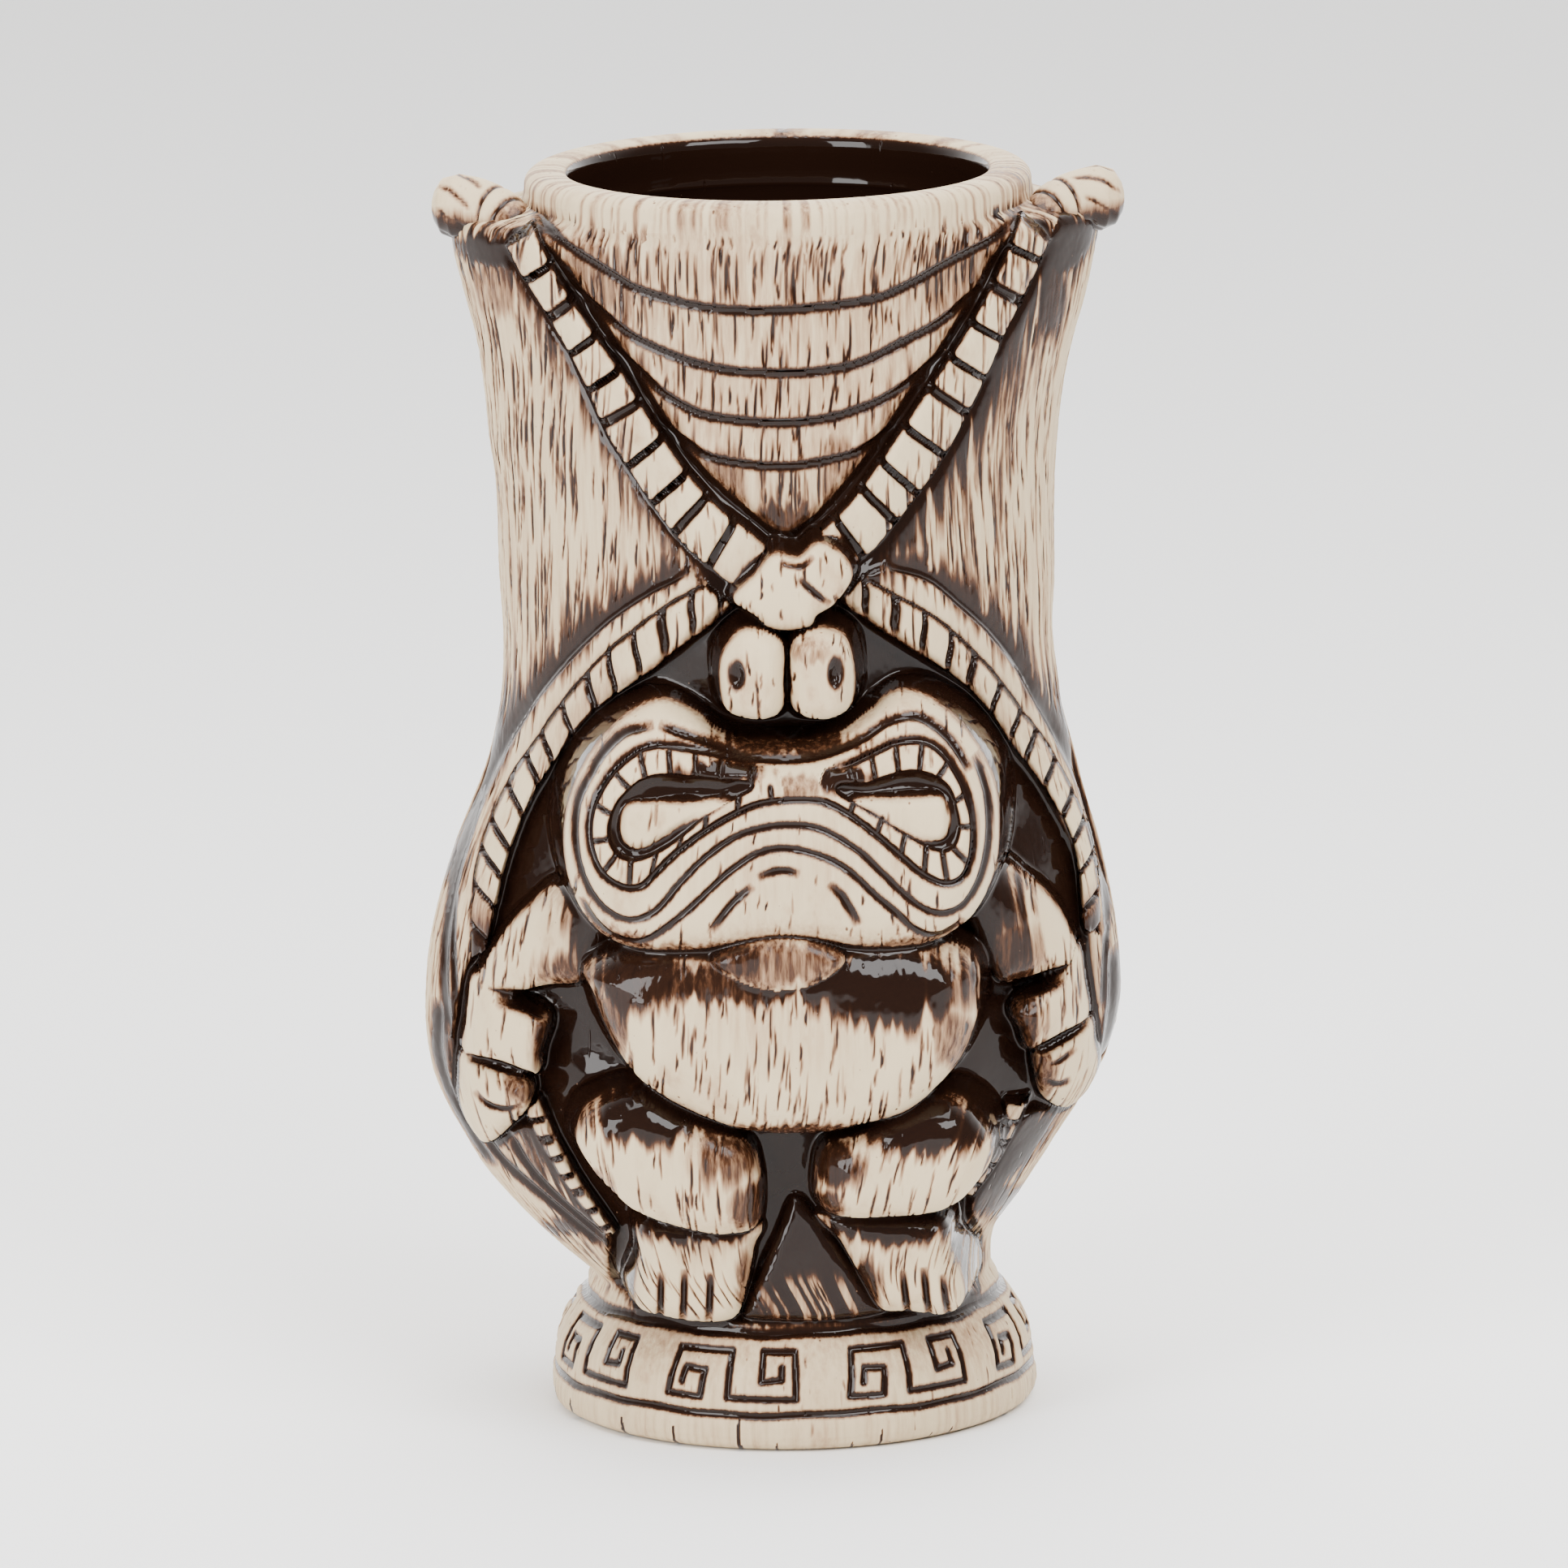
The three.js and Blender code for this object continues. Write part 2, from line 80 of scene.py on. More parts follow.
# World strength by the y of a direction: To Min below From Min, rising to To Max at From Max.
ROOM_LIGHT = {"From Min": -0.1, "From Max": 0.95, "To Min": 0.35, "To Max": 4.0}
ROOM_COLOUR = (1.0, 0.985, 0.965, 1.0)
LIGHT_AIM = (0.0, 0.0, 0.09)
SOFTBOX_WATTS = 20.0
SOFTBOXES = [
    ("left_softbox", (-0.85, -0.95, 0.50), (0.5, 0.9)),
    ("right_softbox", (0.62, -0.85, 0.98), (0.85, 0.5)),
    ("top_softbox", (0.0, -0.15, 1.25), (0.9, 0.8)),
]
FLOOR_SIZE = 9.0
FLOOR_LEVEL = -0.0002
FLOOR_COLOUR = (0.95, 0.95, 0.95, 1.0)


def make_camera():
    data = bpy.data.cameras.new("camera")
    data.lens = CAMERA_LENS
    data.sensor_width = 36.0
    data.clip_end = 20.0
    camera = bpy.data.objects.new("camera", data)
    bpy.context.scene.collection.objects.link(camera)
    towards = (CAMERA_AIM - CAMERA_PLACE).to_track_quat("-Z", "Y").to_matrix().to_4x4()
    roll = Matrix.Rotation(-CAMERA_ROLL, 4, "Z")
    camera.matrix_world = Matrix.Translation(CAMERA_PLACE) @ towards @ roll
    bpy.context.scene.camera = camera


def area_light(name, place, aim, size, power):
    data = bpy.data.lights.new(name, "AREA")
    data.shape = "RECTANGLE"
    data.size, data.size_y = size
    data.energy = power
    light = bpy.data.objects.new(name, data)
    bpy.context.scene.collection.objects.link(light)
    light.location = place
    light.rotation_euler = (Vector(aim) - Vector(place)).to_track_quat("-Z", "Y").to_euler()


def make_world():
    """A white room that is bright behind the mug and dim beside it and in front, on the -y side."""
    world = bpy.data.worlds.new("studio")
    bpy.context.scene.world = world
    world.use_nodes = True
    tree = world.node_tree
    sky = tree.nodes["Background"]
    direction = tree.nodes.new("ShaderNodeTexCoord").outputs["Generated"]
    axes = tree.nodes.new("ShaderNodeSeparateXYZ")
    tree.links.new(direction, axes.inputs["Vector"])
    room = tree.nodes.new("ShaderNodeMapRange")
    room.interpolation_type = "SMOOTHSTEP"
    tree.links.new(axes.outputs["Y"], room.inputs["Value"])
    for key, number in ROOM_LIGHT.items():
        room.inputs[key].default_value = number
    tree.links.new(room.outputs["Result"], sky.inputs["Strength"])
    sky.inputs["Color"].default_value = ROOM_COLOUR


def make_studio():
    make_world()
    for name, place, size in SOFTBOXES:
        area_light(name, place, LIGHT_AIM, size, SOFTBOX_WATTS)
    bpy.ops.mesh.primitive_plane_add(size=FLOOR_SIZE, location=(0.0, 0.0, FLOOR_LEVEL))
    floor = bpy.context.object
    floor.name = "floor"
    material = bpy.data.materials.new("floor_white")
    material.use_nodes = True
    shader = material.node_tree.nodes["Principled BSDF"]
    shader.inputs["Base Color"].default_value = FLOOR_COLOUR
    shader.inputs["Roughness"].default_value = 0.7
    floor.data.materials.append(material)


make_camera()
make_studio()


# --- Curves and distances ---

def smooth_line(points, closed=False, parts=5):
    """A centripetal-like Catmull-Rom curve through the points."""
    p = np.asarray(points, float)
    if closed:
        p = np.vstack([p[-1], p, p[0], p[1]])
    else:
        p = np.vstack([2 * p[0] - p[1], p, 2 * p[-1] - p[-2]])
    t = np.linspace(0.0, 1.0, parts, endpoint=False)[:, None]
    pieces = []
    for a, b, c, d in zip(p[:-3], p[1:-2], p[2:-1], p[3:]):
        pieces.append(0.5 * (2 * b + (c - a) * t + (2 * a - 5 * b + 4 * c - d) * t**2
                             + (3 * b - a - 3 * c + d) * t**3))
    line = np.vstack(pieces)
    return line if closed else np.vstack([line, p[-2]])


def nearest_on(x, z, line):
    """Distance to an open line, signed arc length along it, and which side (left is +)."""
    best = np.full(x.shape, 1e9)
    along = np.zeros(x.shape)
    side = np.ones(x.shape)
    run = 0.0
    for (ax, az), (bx, bz) in zip(line[:-1], line[1:]):
        dx, dz = bx - ax, bz - az
        length = math.hypot(dx, dz)
        t = np.clip(((x - ax) * dx + (z - az) * dz) / length**2, 0.0, 1.0)
        px, pz = x - ax - t * dx, z - az - t * dz
        distance = np.hypot(px, pz)
        closer = distance < best
        best = np.where(closer, distance, best)
        along = np.where(closer, run + t * length, along)
        side = np.where(closer, np.sign(dx * pz - dz * px), side)
        run += length
    return best, along, side


def inside_distance(x, z, outline):
    """Signed distance to a closed outline, positive inside."""
    line = np.vstack([outline, outline[:1]])
    distance, _, _ = nearest_on(x, z, line)
    inside = np.zeros(x.shape, bool)
    for (ax, az), (bx, bz) in zip(line[:-1], line[1:]):
        if az == bz:
            continue
        crosses = (az > z) != (bz > z)
        inside ^= crosses & (x < ax + (z - az) * (bx - ax) / (bz - az))
    return np.where(inside, distance, -distance)


def smoothstep(low, high, value):
    t = np.clip((value - low) / (high - low), 0.0, 1.0)
    return t * t * (3.0 - 2.0 * t)


def blur(field, sigma_rows, sigma_columns):
    """Separable Gaussian blur with held edges."""
    out = field
    for axis, sigma in ((0, sigma_rows), (1, sigma_columns)):
        reach = max(1, int(3 * sigma))
        kernel = np.exp(-0.5 * (np.arange(-reach, reach + 1) / sigma) ** 2)
        kernel /= kernel.sum()
        pad = [(0, 0), (0, 0)]
        pad[axis] = (reach, reach)
        padded = np.pad(out, pad, mode="edge")
        total = np.zeros_like(out)
        for i, weight in enumerate(kernel):
            cut = [slice(None), slice(None)]
            cut[axis] = slice(i, i + out.shape[axis])
            total += weight * padded[tuple(cut)]
        out = total
    return out


# --- The cup's bare form ---

# Height: half widths left and right.
SIDES = [
    (17, 30.0, 30.0), (18.6, 29.2, 29.0), (20, 29.5, 28.7), (25, 35.2, 29.4), (30, 40.2, 33.0),
    (35, 44.4, 36.4), (40, 47.4, 39.6), (45, 50.0, 42.9), (50, 51.7, 45.8), (55.6, 52.4, 47.4),
    (61, 52.3, 48.0), (68, 51.5, 47.5), (75, 50.0, 46.3), (82, 47.8, 44.7), (88, 45.3, 43.0),
    (95, 42.6, 41.3), (101, 41.2, 39.8), (106, 40.5, 39.2), (113, 40.2, 38.6), (120, 40.5, 38.8),
    (134, 41.0, 39.0), (141, 41.8, 39.4), (148, 42.3, 40.4), (155, 43.1, 42.0), (162, 44.8, 43.9),
    (169, 46.4, 45.4), (173, 46.3, 45.8), (174.4, 43.0, 43.0), (175.4, 37.6, 37.6), (176, 36.2, 36.2),
    (176.6, 36.1, 36.1),
]
# Height: core radius, depth in front, depth behind, and how sharply the sides run out into fins.
CORE = [
    (17, 29.9, 29.9, 29.9, 2.0), (20, 29.1, 29.1, 29.1, 2.0), (28, 31.2, 31.0, 31.5, 2.0),
    (40, 34.5, 33.5, 35.0, 2.0), (50, 36.5, 34.8, 37.0, 2.0), (60, 37.0, 35.0, 37.5, 2.0),
    (74, 36.5, 35.0, 37.0, 2.0), (88, 35.5, 35.0, 36.0, 2.4), (106, 34.5, 34.5, 35.0, 3.0),
    (134, 34.0, 34.0, 34.5, 4.0), (155, 34.6, 34.6, 34.8, 5.0), (166, 35.2, 35.2, 35.2, 6.0),
    (173, 35.9, 35.9, 35.9, 7.0), (176.6, 36.1, 36.1, 36.1, 7.0),
]
# The foot's radius at each height, up to the neck.
FOOT = [
    (0.0, 33.4), (0.3, 34.2), (0.9, 34.9), (2.0, 35.2), (3.6, 35.15), (5.2, 34.8), (7.5, 34.6),
    (10.0, 34.1), (12.0, 33.2), (14.0, 31.9), (15.6, 30.9), (17.0, 30.0),
]


def columns_of(table):
    array = np.array(table, float)
    line = smooth_line(array, parts=8)
    return line[:, 0], line[:, 1:].T


def section_values(z):
    """Left and right half width, core radius, front and back depth, and fin power at heights z."""
    side_z, sides = columns_of(SIDES)
    core_z, cores = columns_of(CORE)
    return [np.interp(z, side_z, row) for row in sides] + [np.interp(z, core_z, row) for row in cores]


def bare_form(z, angle):
    """The undecorated cup at heights z (rows) and angles (columns): x and y."""
    left, right, core, front, back, power = [v[:, None] for v in section_values(z)]
    side, ahead = np.sin(angle)[None, :], np.cos(angle)[None, :]
    half, shift = (left + right) / 2, (right - left) / 2
    x = shift + side * (core + (half - core) * np.abs(side) ** power)
    y = -ahead * np.where(ahead > 0, front, back)
    foot_z, foot_r = np.array(FOOT).T
    radius = np.interp(z, foot_z, foot_r)[:, None]
    in_foot = (z < FOOT_TOP)[:, None]
    return np.where(in_foot, side * radius, x), np.where(in_foot, -ahead * radius, y)


def make_angles():
    """Column angles, close together in front and wider apart behind; 0 faces the viewer."""
    front = np.arange(-FRONT_REACH, FRONT_REACH, FRONT_STEP / GIRTH)
    count = int((2 * math.pi - (front[-1] - front[0])) * GIRTH / BACK_STEP)
    back = np.linspace(front[-1], front[0] + 2 * math.pi, count + 1)[1:-1]
    return np.concatenate([front, back]), len(front)


ANGLES, FRONT_COLUMNS = make_angles()
LEVELS = np.concatenate([
    [0.0, 0.08, 0.2, 0.4, 0.65],
    np.arange(0.9, SHOULDER, ROW_STEP),
    np.arange(SHOULDER, LIP_START, 0.15),
])
BARE_X, BARE_Y = bare_form(LEVELS, ANGLES)
ROWS, COLUMNS = BARE_X.shape
Z = np.repeat(LEVELS[:, None], COLUMNS, axis=1)

# Relief fields. depth is towards the viewer, carve is along the surface's normal (negative cuts in),
# glaze is how much brown glaze is left after wiping, and label is the feature that a point belongs to.
depth = -BARE_Y.copy()
carve = np.zeros_like(depth)
glaze = np.zeros_like(depth)
# A field of vertical streaks, about half a millimetre wide, with unit spread.
STREAKS = blur(np.random.default_rng(41).normal(0, 1, depth.shape), 6.0 / ROW_STEP, 0.28 / FRONT_STEP)
STREAKS = STREAKS / STREAKS[:, :STREAK_SAMPLE].std()
label = np.zeros(depth.shape, np.int16)
BARE_DEPTH = depth.copy()
FACING = np.cos(ANGLES)[None, :] * np.ones((ROWS, 1)) > 0.02
FRONT = np.s_[:, :FRONT_COLUMNS]

names = ["cup"]


def new_label(name):
    names.append(name)
    return len(names) - 1


def window(points, margin):
    """The part of the grid in front that holds some points with a margin, and its x and z."""
    p = np.asarray(points, float)
    rows = np.flatnonzero((LEVELS > p[:, 1].min() - margin) & (LEVELS < p[:, 1].max() + margin))
    rows = slice(rows[0], rows[-1] + 1)
    x = BARE_X[rows, :FRONT_COLUMNS]
    near = (x > p[:, 0].min() - margin) & (x < p[:, 0].max() + margin) & FACING[rows, :FRONT_COLUMNS]
    columns = np.flatnonzero(near.any(axis=0))
    at = rows, slice(columns[0], columns[-1] + 1)
    return at, BARE_X[at], Z[at]


def window_round(middle, reach):
    """The part of the grid within reach of a middle point, and x and z from there."""
    corners = [(middle[0] + k * reach[0], middle[1] + k * reach[1]) for k in (-1, 1)]
    at, x, z = window(corners, 0.5)
    return at, x - middle[0], z - middle[1]


def add_glaze(at, amount):
    glaze[at] = np.maximum(glaze[at], amount)


def cut_to(at, amount):
    carve[at] = np.minimum(carve[at], amount)


def smooth_max(a, b, radius):
    h = np.clip(0.5 + 0.5 * (a - b) / radius, 0.0, 1.0)
    return b * (1 - h) + a * h + radius * h * (1 - h)


# --- Sculpting tools ---

def lump(name, outline, peak, middle, bulge, edge, drop, relative=False):
    """Raise a rounded form inside a closed outline.

    peak is its greatest depth (or its height over the bare cup when relative), at middle. The surface
    falls off as bulge / radius squared away from there, and rounds over by drop within edge of the rim.
    """
    line = smooth_line(outline, closed=True)
    at, x, z = window(line, 5.0)
    inner = inside_distance(x, z, line)
    crown = ((x - middle[0]) / bulge[0]) ** 2 + ((z - middle[1]) / bulge[1]) ** 2
    roll = np.clip(1 - inner / edge, 0.0, 1.0)
    beyond = np.maximum(-inner, 0)
    skirt = 5.2 * beyond + beyond**2
    height = peak - crown - drop * (1 - (1 - roll**2) ** 0.5) - skirt
    if relative:
        height = height + BARE_DEPTH[at]
    before = depth[at].copy()
    depth[at] = smooth_max(before, height, 0.35)
    if name:
        mine = (height > before) & FACING[at]
        label[at][mine] = new_label(name)
        # The new form covers old grooves and glaze, and glaze clings to its steep sides.
        glaze[at] = np.where(mine, smoothstep(0.25, -0.45, inner), glaze[at])
        carve[at] = np.where(mine, 0.0, carve[at])


def groove(points, width, cut, dark=1.0, closed=False, taper=True, smooth=True, spread=1.0):
    """Cut a round-bottomed groove along a line, and leave glaze in it."""
    line = smooth_line(points, closed=closed) if smooth else np.asarray(points, float)
    if closed:
        line = np.vstack([line, line[:1]])
    at, x, z = window(line, width * 4 + 1)
    distance, along, _ = nearest_on(x, z, line)
    strength = np.ones_like(along)
    if taper and not closed:
        total = np.hypot(*np.diff(line, axis=0).T).sum()
        ends = min(2.5, total / 3)
        strength = np.clip(np.minimum(along, total - along) / ends, 0.0, 1.0) ** 0.5
    cut_to(at, -cut * (np.exp(-((distance / width) ** 2)) * strength))
    add_glaze(at, dark * np.exp(-((distance / (width * 1.25 * spread)) ** 4)) * strength)


def smear(middle, size, amount, tilt, feature):
    """Leave a soft patch of glaze on a feature, within an ellipse. Its edge is streaky."""
    at, x, z = window_round(middle, [max(size) * 1.5] * 2)
    c, s = math.cos(math.radians(tilt)), math.sin(math.radians(tilt))
    u, v = (x * c + z * s) / size[0], (z * c - x * s) / size[1]
    edge = 1 + 0.2 * STREAKS[at]
    patch = amount * smoothstep(1.25 * edge, 0.6 * edge, np.sqrt(u * u + v * v))
    add_glaze(at, patch * (label[at] == names.index(feature)))


def even_line(points, count=60):
    """Points at even shares of a smooth line."""
    line = smooth_line(points)
    shares = np.linspace(0, 1, len(line))
    return np.array([np.interp(np.linspace(0, 1, count), shares, c) for c in line.T]).T


def rope_tiles(along, u, half, pitch, slant, phase):
    """Where a point lies in its segment (-1 to 1), and a number for the segment from -1 to 1."""
    bend = slant * half * (u + 0.5 * u * np.abs(u))
    place = (along + bend) / pitch + phase
    place = place + 0.07 * np.sin(place * 1.7) + 0.05 * np.sin(place * 4.1 + 1)
    number = np.floor(place)
    return 2 * (place - number) - 1, np.sin(number * 2.39 + 1.3)


def rope(name, outer, inner, height, pitch, slant=0.0, phase=0.0, cut=0.8, open_inside=False, fade=0.0):
    """A flat rope between two edge lines, cut across into rounded segments.

    With open_inside, the segments' inner ends run out into glaze instead of ending at a line. The
    segments sink into glaze over the last fade of the rope's length.
    """
    a, b = even_line(outer), even_line(inner)
    band = np.vstack([a, b[::-1]])
    middle = (a + b) / 2
    inward = np.sign(np.cross(middle[30] - middle[29], b[30] - a[30]))
    at, x, z = window(band, 5.0)
    inside = inside_distance(x, z, band)
    across, along, side = nearest_on(x, z, middle)
    lengths = np.concatenate([[0], np.cumsum(np.hypot(*np.diff(middle, axis=0).T))])
    half = np.interp(along, lengths, np.hypot(*(a - b).T) / 2)
    u = np.clip(side * inward * across / half, -1.3, 1.3)
    local, jitter = rope_tiles(along, u, half, pitch, slant, phase)
    end = np.where(u > 0, np.abs(u) * (1.0 + 0.06 * jitter), np.abs(u))
    tile = (np.abs(local) ** 4.5 + (0.35 if open_inside else 0.9) * end**4.5) ** (1 / 4.5)
    pillow = height * (1.0 - 0.32 * tile**3) + 0.16 * jitter + 0.14 * local
    wall = 2.0 * (1 - np.sqrt(1 - np.clip(1 - inside / 1.0, 0, 1) ** 2))
    sunk = smoothstep(1 - fade, 1.0, along / lengths[-1]) if fade else np.zeros_like(along)
    if open_inside:
        wall = wall * (u < 0.2) + 1.6 * smoothstep(0.3, 1.1, u)
    form = BARE_DEPTH[at] + (pillow - wall) * (1 - 0.5 * sunk) - np.maximum(-inside, 0) * 6.0
    before = depth[at].copy()
    depth[at] = smooth_max(before, form, 0.3)
    mine = form > before
    label[at][mine] = new_label(name)
    gap = (1 - np.abs(local)) * pitch / 2
    run_out = smoothstep(1.05, 0.35, u) if open_inside else np.ones_like(u)
    width = 0.36 * (0.55 + 0.75 * run_out)
    notch = np.exp(-((gap / width) ** 2)) * run_out
    carve[at] = np.where(mine, -cut * notch, carve[at])
    stain = np.exp(-((gap / (width * 1.3)) ** 4)) * run_out
    rim = smoothstep(0.5, 0.0, inside)
    if open_inside:
        rim = np.maximum(rim * (u < 0.2), 0.95 * smoothstep(0.45, 1.0, u))
    else:
        rim = np.maximum(rim, smoothstep(0.93, 1.02, tile))
    glaze[at] = np.where(mine, np.maximum(np.maximum(stain, rim), sunk * 0.9), glaze[at])


def stain_beside(points, reach, amount, side):
    """Leave streaky glaze on the cup beside a line, on its left (side 1) or right (-1)."""
    line = smooth_line(points)
    at, x, z = window(line, reach * 2.5)
    distance, _, on_side = nearest_on(x, z, line)
    far = reach * np.clip(1 + 0.55 * STREAKS[at], 0.25, 2.2)
    patch = amount * smoothstep(far, 0.1 * far, distance)
    patch = patch * np.where(on_side == side, 1.0, smoothstep(0.5, 0.0, distance))
    add_glaze(at, patch * (label[at] == 0))


def wipe(middle, size, amount):
    """Drag glaze off an ellipse in vertical streaks."""
    at, x, z = window_round(middle, size)
    u, v = x / size[0], z / size[1]
    off = smoothstep(1.0, 0.4, np.sqrt(u * u + v * v)) * smoothstep(-0.3, 0.9, STREAKS[at])
    glaze[at] *= 1 - amount * off


def hollow(outline, cut, soft):
    """Sink the surface inside an outline, and flood it with glaze."""
    line = smooth_line(outline, closed=True)
    at, x, z = window(line, 4.0)
    inner = inside_distance(x, z, line)
    depth[at] -= cut * smoothstep(-soft * 0.5, soft, inner)
    add_glaze(at, smoothstep(-0.8, 0.9, inner))


# --- Outlines, front elevation, mm ---

BROW_OUTER_L = [
    (-13.5, 127.6), (-20.2, 123.6), (-26.7, 118), (-33.6, 109.6), (-38.6, 101.5), (-42.5, 93.5),
    (-45.2, 86.5), (-47.6, 79), (-49.2, 70), (-49.4, 62), (-48.6, 56),
]
BROW_MIDDLE_L = [
    (-11, 125.9), (-17, 122), (-21.7, 118), (-25.5, 114.4), (-29.4, 109.6), (-32.8, 104.8),
    (-35.5, 100.4), (-38.6, 95.6), (-41.3, 90.4), (-43.6, 84.6), (-44.9, 79), (-45.6, 72), (-45.5, 68),
]
BROW_INNER_L = [
    (-7, 122.7), (-10.2, 120), (-14.4, 117), (-18.6, 113.2), (-23.2, 109.6), (-27.5, 105.6),
    (-30.6, 101.5), (-33.6, 97), (-36.3, 92.4), (-38.4, 87.8), (-40.4, 82.4), (-42, 76), (-43.2, 70),
]
BROW_OUTER_R = [
    (14.5, 127.9), (20.6, 125.4), (25.2, 121), (29.5, 116.2), (33.3, 110.4), (36.6, 103.5),
    (39.6, 97.3), (42.2, 91.2), (44.1, 84.5), (45.6, 77), (46.2, 69),
]
BROW_MIDDLE_R = [
    (11, 126.4), (16, 123.2), (20.6, 120), (24.6, 116.2), (28, 112.2), (31, 108), (33.8, 103.5),
    (36.4, 99.6), (38.5, 95.8), (40.4, 92), (42, 88), (43.5, 83.5), (44.6, 77), (45, 69),
]
BROW_INNER_R = [
    (7.2, 123.3), (10.6, 121), (14.8, 117.7), (19, 114.6), (22.8, 111.8), (26.8, 107.7), (29.5, 103.8),
    (32, 99.4), (34.5, 95.8), (36.6, 92.4), (38.5, 89), (40.4, 85.6), (41.9, 80), (42.4, 71),
]

NICHE = [
    (-7, 122.9), (-14.4, 117.2), (-23.2, 109.8), (-30.6, 101.7), (-36.3, 92.8), (-40.4, 83),
    (-43.4, 73), (-46.9, 64), (-48.3, 54), (-48.3, 46), (-44, 40.6), (-38.5, 45), (-34.5, 43.4),
    (-30.5, 36.8), (-26.5, 30.6), (-26.4, 24), (-24.5, 18.9), (-8, 18), (10, 18), (26, 19), (27.6, 24),
    (25.6, 31), (29, 37.4), (33.4, 44.4), (36.6, 44.6), (41, 43.4), (44.6, 46), (44.9, 54), (43.6, 64),
    (43, 72), (41.8, 81), (36.6, 92.6), (32, 99.6), (26.8, 107.9), (19, 114.8), (10.6, 121.2),
    (7.4, 123.5), (0, 124.5),
]

FACE = [
    (0, 104.4), (-8, 105), (-12.5, 107.8), (-17, 109.5), (-21, 108.2), (-25, 105), (-28.5, 100.5),
    (-30.7, 95), (-31.4, 90), (-30.9, 84.5), (-29, 79.8), (-25.5, 76), (-20, 74), (-12, 73.6),
    (0, 74.6), (13, 73.6), (20, 74.6), (25.5, 77.8), (28.5, 82.5), (29.8, 88), (29.8, 95), (28.4, 100),
    (25, 105.2), (20.5, 109), (16, 110.2), (11.5, 107.8), (6, 105),
]
RING_L = [
    (-1.3, 101.3), (-5, 102), (-10, 103.5), (-15, 104.6), (-18.4, 104.8), (-21.5, 103.6),
    (-24.8, 100.6), (-27, 97), (-27.9, 93.5), (-27.6, 89.8), (-26, 86.6), (-23.2, 84.9), (-20.5, 85),
    (-18.4, 87), (-15.5, 89.8), (-11.7, 92.7), (-7.8, 95), (-4, 96.5), (-0.6, 97),
]
SOCKET_L = [
    (-5, 99.2), (-9, 99.7), (-13, 100.1), (-17, 100.5), (-20, 99.8), (-22.5, 97.8), (-24.1, 95.4),
    (-24.7, 92.7), (-24, 90.3), (-22.2, 89.1), (-20, 89.5), (-17.5, 90.8), (-14.8, 92.7),
    (-11.7, 95.2), (-8.4, 97.4),
]
EYE_L = [
    (-22.4, 96.4), (-19.4, 96.9), (-14, 96.9), (-7.6, 97.4), (-14.6, 93.7), (-17, 92.1), (-20.4, 90.4),
    (-22.5, 91), (-23.4, 93.4),
]
RING_R = [
    (5.4, 101), (9, 102), (12.5, 103.6), (15.2, 104.7), (18, 105), (20.8, 104.2), (23.3, 101.6),
    (25.3, 97.7), (26.4, 93), (26, 88), (24.6, 85.3), (22.2, 84.7), (19, 86.2), (15.2, 89.6),
    (12.2, 92.3), (8.7, 95), (5, 97.2),
]
SOCKET_R = [
    (7.4, 98.6), (11.4, 98.9), (14, 99.8), (17.5, 100.5), (20.4, 99.8), (22.6, 98), (23.6, 95),
    (23.9, 92.3), (23, 90.1), (21, 90), (17.5, 91.8), (14, 94.2), (10.2, 96.6),
]
EYE_R = [
    (9.4, 97.2), (15, 97.1), (19, 97.1), (22, 96.8), (23, 93.8), (22, 91.2), (19.5, 91), (16, 92.8),
    (12.8, 95),
]

NOSE_L = [
    (-3.4, 120.7), (-6.4, 120.2), (-8.8, 116.6), (-8.9, 112), (-7.8, 109), (-3.8, 107.9), (-0.6, 109),
    (0.1, 113.5), (-0.2, 118.6),
]
NOSE_R = [
    (2.4, 119.9), (5.6, 120.7), (8.6, 119.2), (9.8, 114.4), (9.1, 109.4), (5.4, 107.6), (1.5, 108.8),
    (0.6, 113), (0.9, 118),
]
KNOT = [
    (-1.2, 131.2), (2.2, 130.6), (5, 132.6), (8, 131), (9.6, 127.8), (7, 123.9), (4.6, 122.4),
    (3.4, 120.6), (-1.6, 120.4), (-4, 122.4), (-7, 124.8), (-4, 128.2),
]
CHIN = [(-11, 73.5), (-6, 76.5), (0, 77.5), (5, 76), (8, 73.6), (4.6, 70.4), (0, 69.1), (-5, 69.6)]
BELLY = [
    (-28, 72), (-27.4, 67), (-25, 60.8), (-21.8, 56), (-17, 52.2), (-10, 49), (-4, 47.6), (4.8, 47.5),
    (10, 48.6), (16, 50), (20.4, 53.2), (24, 57.2), (26.2, 62.4), (26.8, 66.6), (25.6, 72.6), (14, 77),
    (-14, 77),
]

UPPER_ARM_L = [
    (-24, 80), (-31.5, 81.8), (-36.8, 77.2), (-41, 72.2), (-43.8, 67.4), (-45, 64.4), (-40.5, 64.2),
    (-34, 66.6), (-29.4, 67.6), (-26, 72),
]
FOREARM_L = [
    (-45.2, 66), (-46.2, 59.2), (-46.6, 54.6), (-41, 54), (-36.2, 53.4), (-35.2, 57), (-34, 62),
    (-38, 64.2), (-42, 66),
]
HAND_L = [
    (-46.6, 54.8), (-47.5, 50), (-47.4, 46), (-46, 42.6), (-43.8, 40.8), (-40, 44.6), (-37.4, 48.2),
    (-36.6, 51.2), (-37.8, 53.4), (-41, 54),
]
UPPER_ARM_R = [
    (24, 80.5), (29.6, 84), (33.6, 81), (37.6, 76.4), (40.2, 71.4), (41.6, 66.6), (38, 66.4), (33, 66),
    (29.6, 66.6), (26, 74),
]
FOREARM_R = [
    (41.3, 69), (42.2, 64), (42.7, 58.2), (39, 56.6), (34.2, 55.4), (32.6, 59), (31.6, 62), (35, 64.6),
    (39, 67),
]
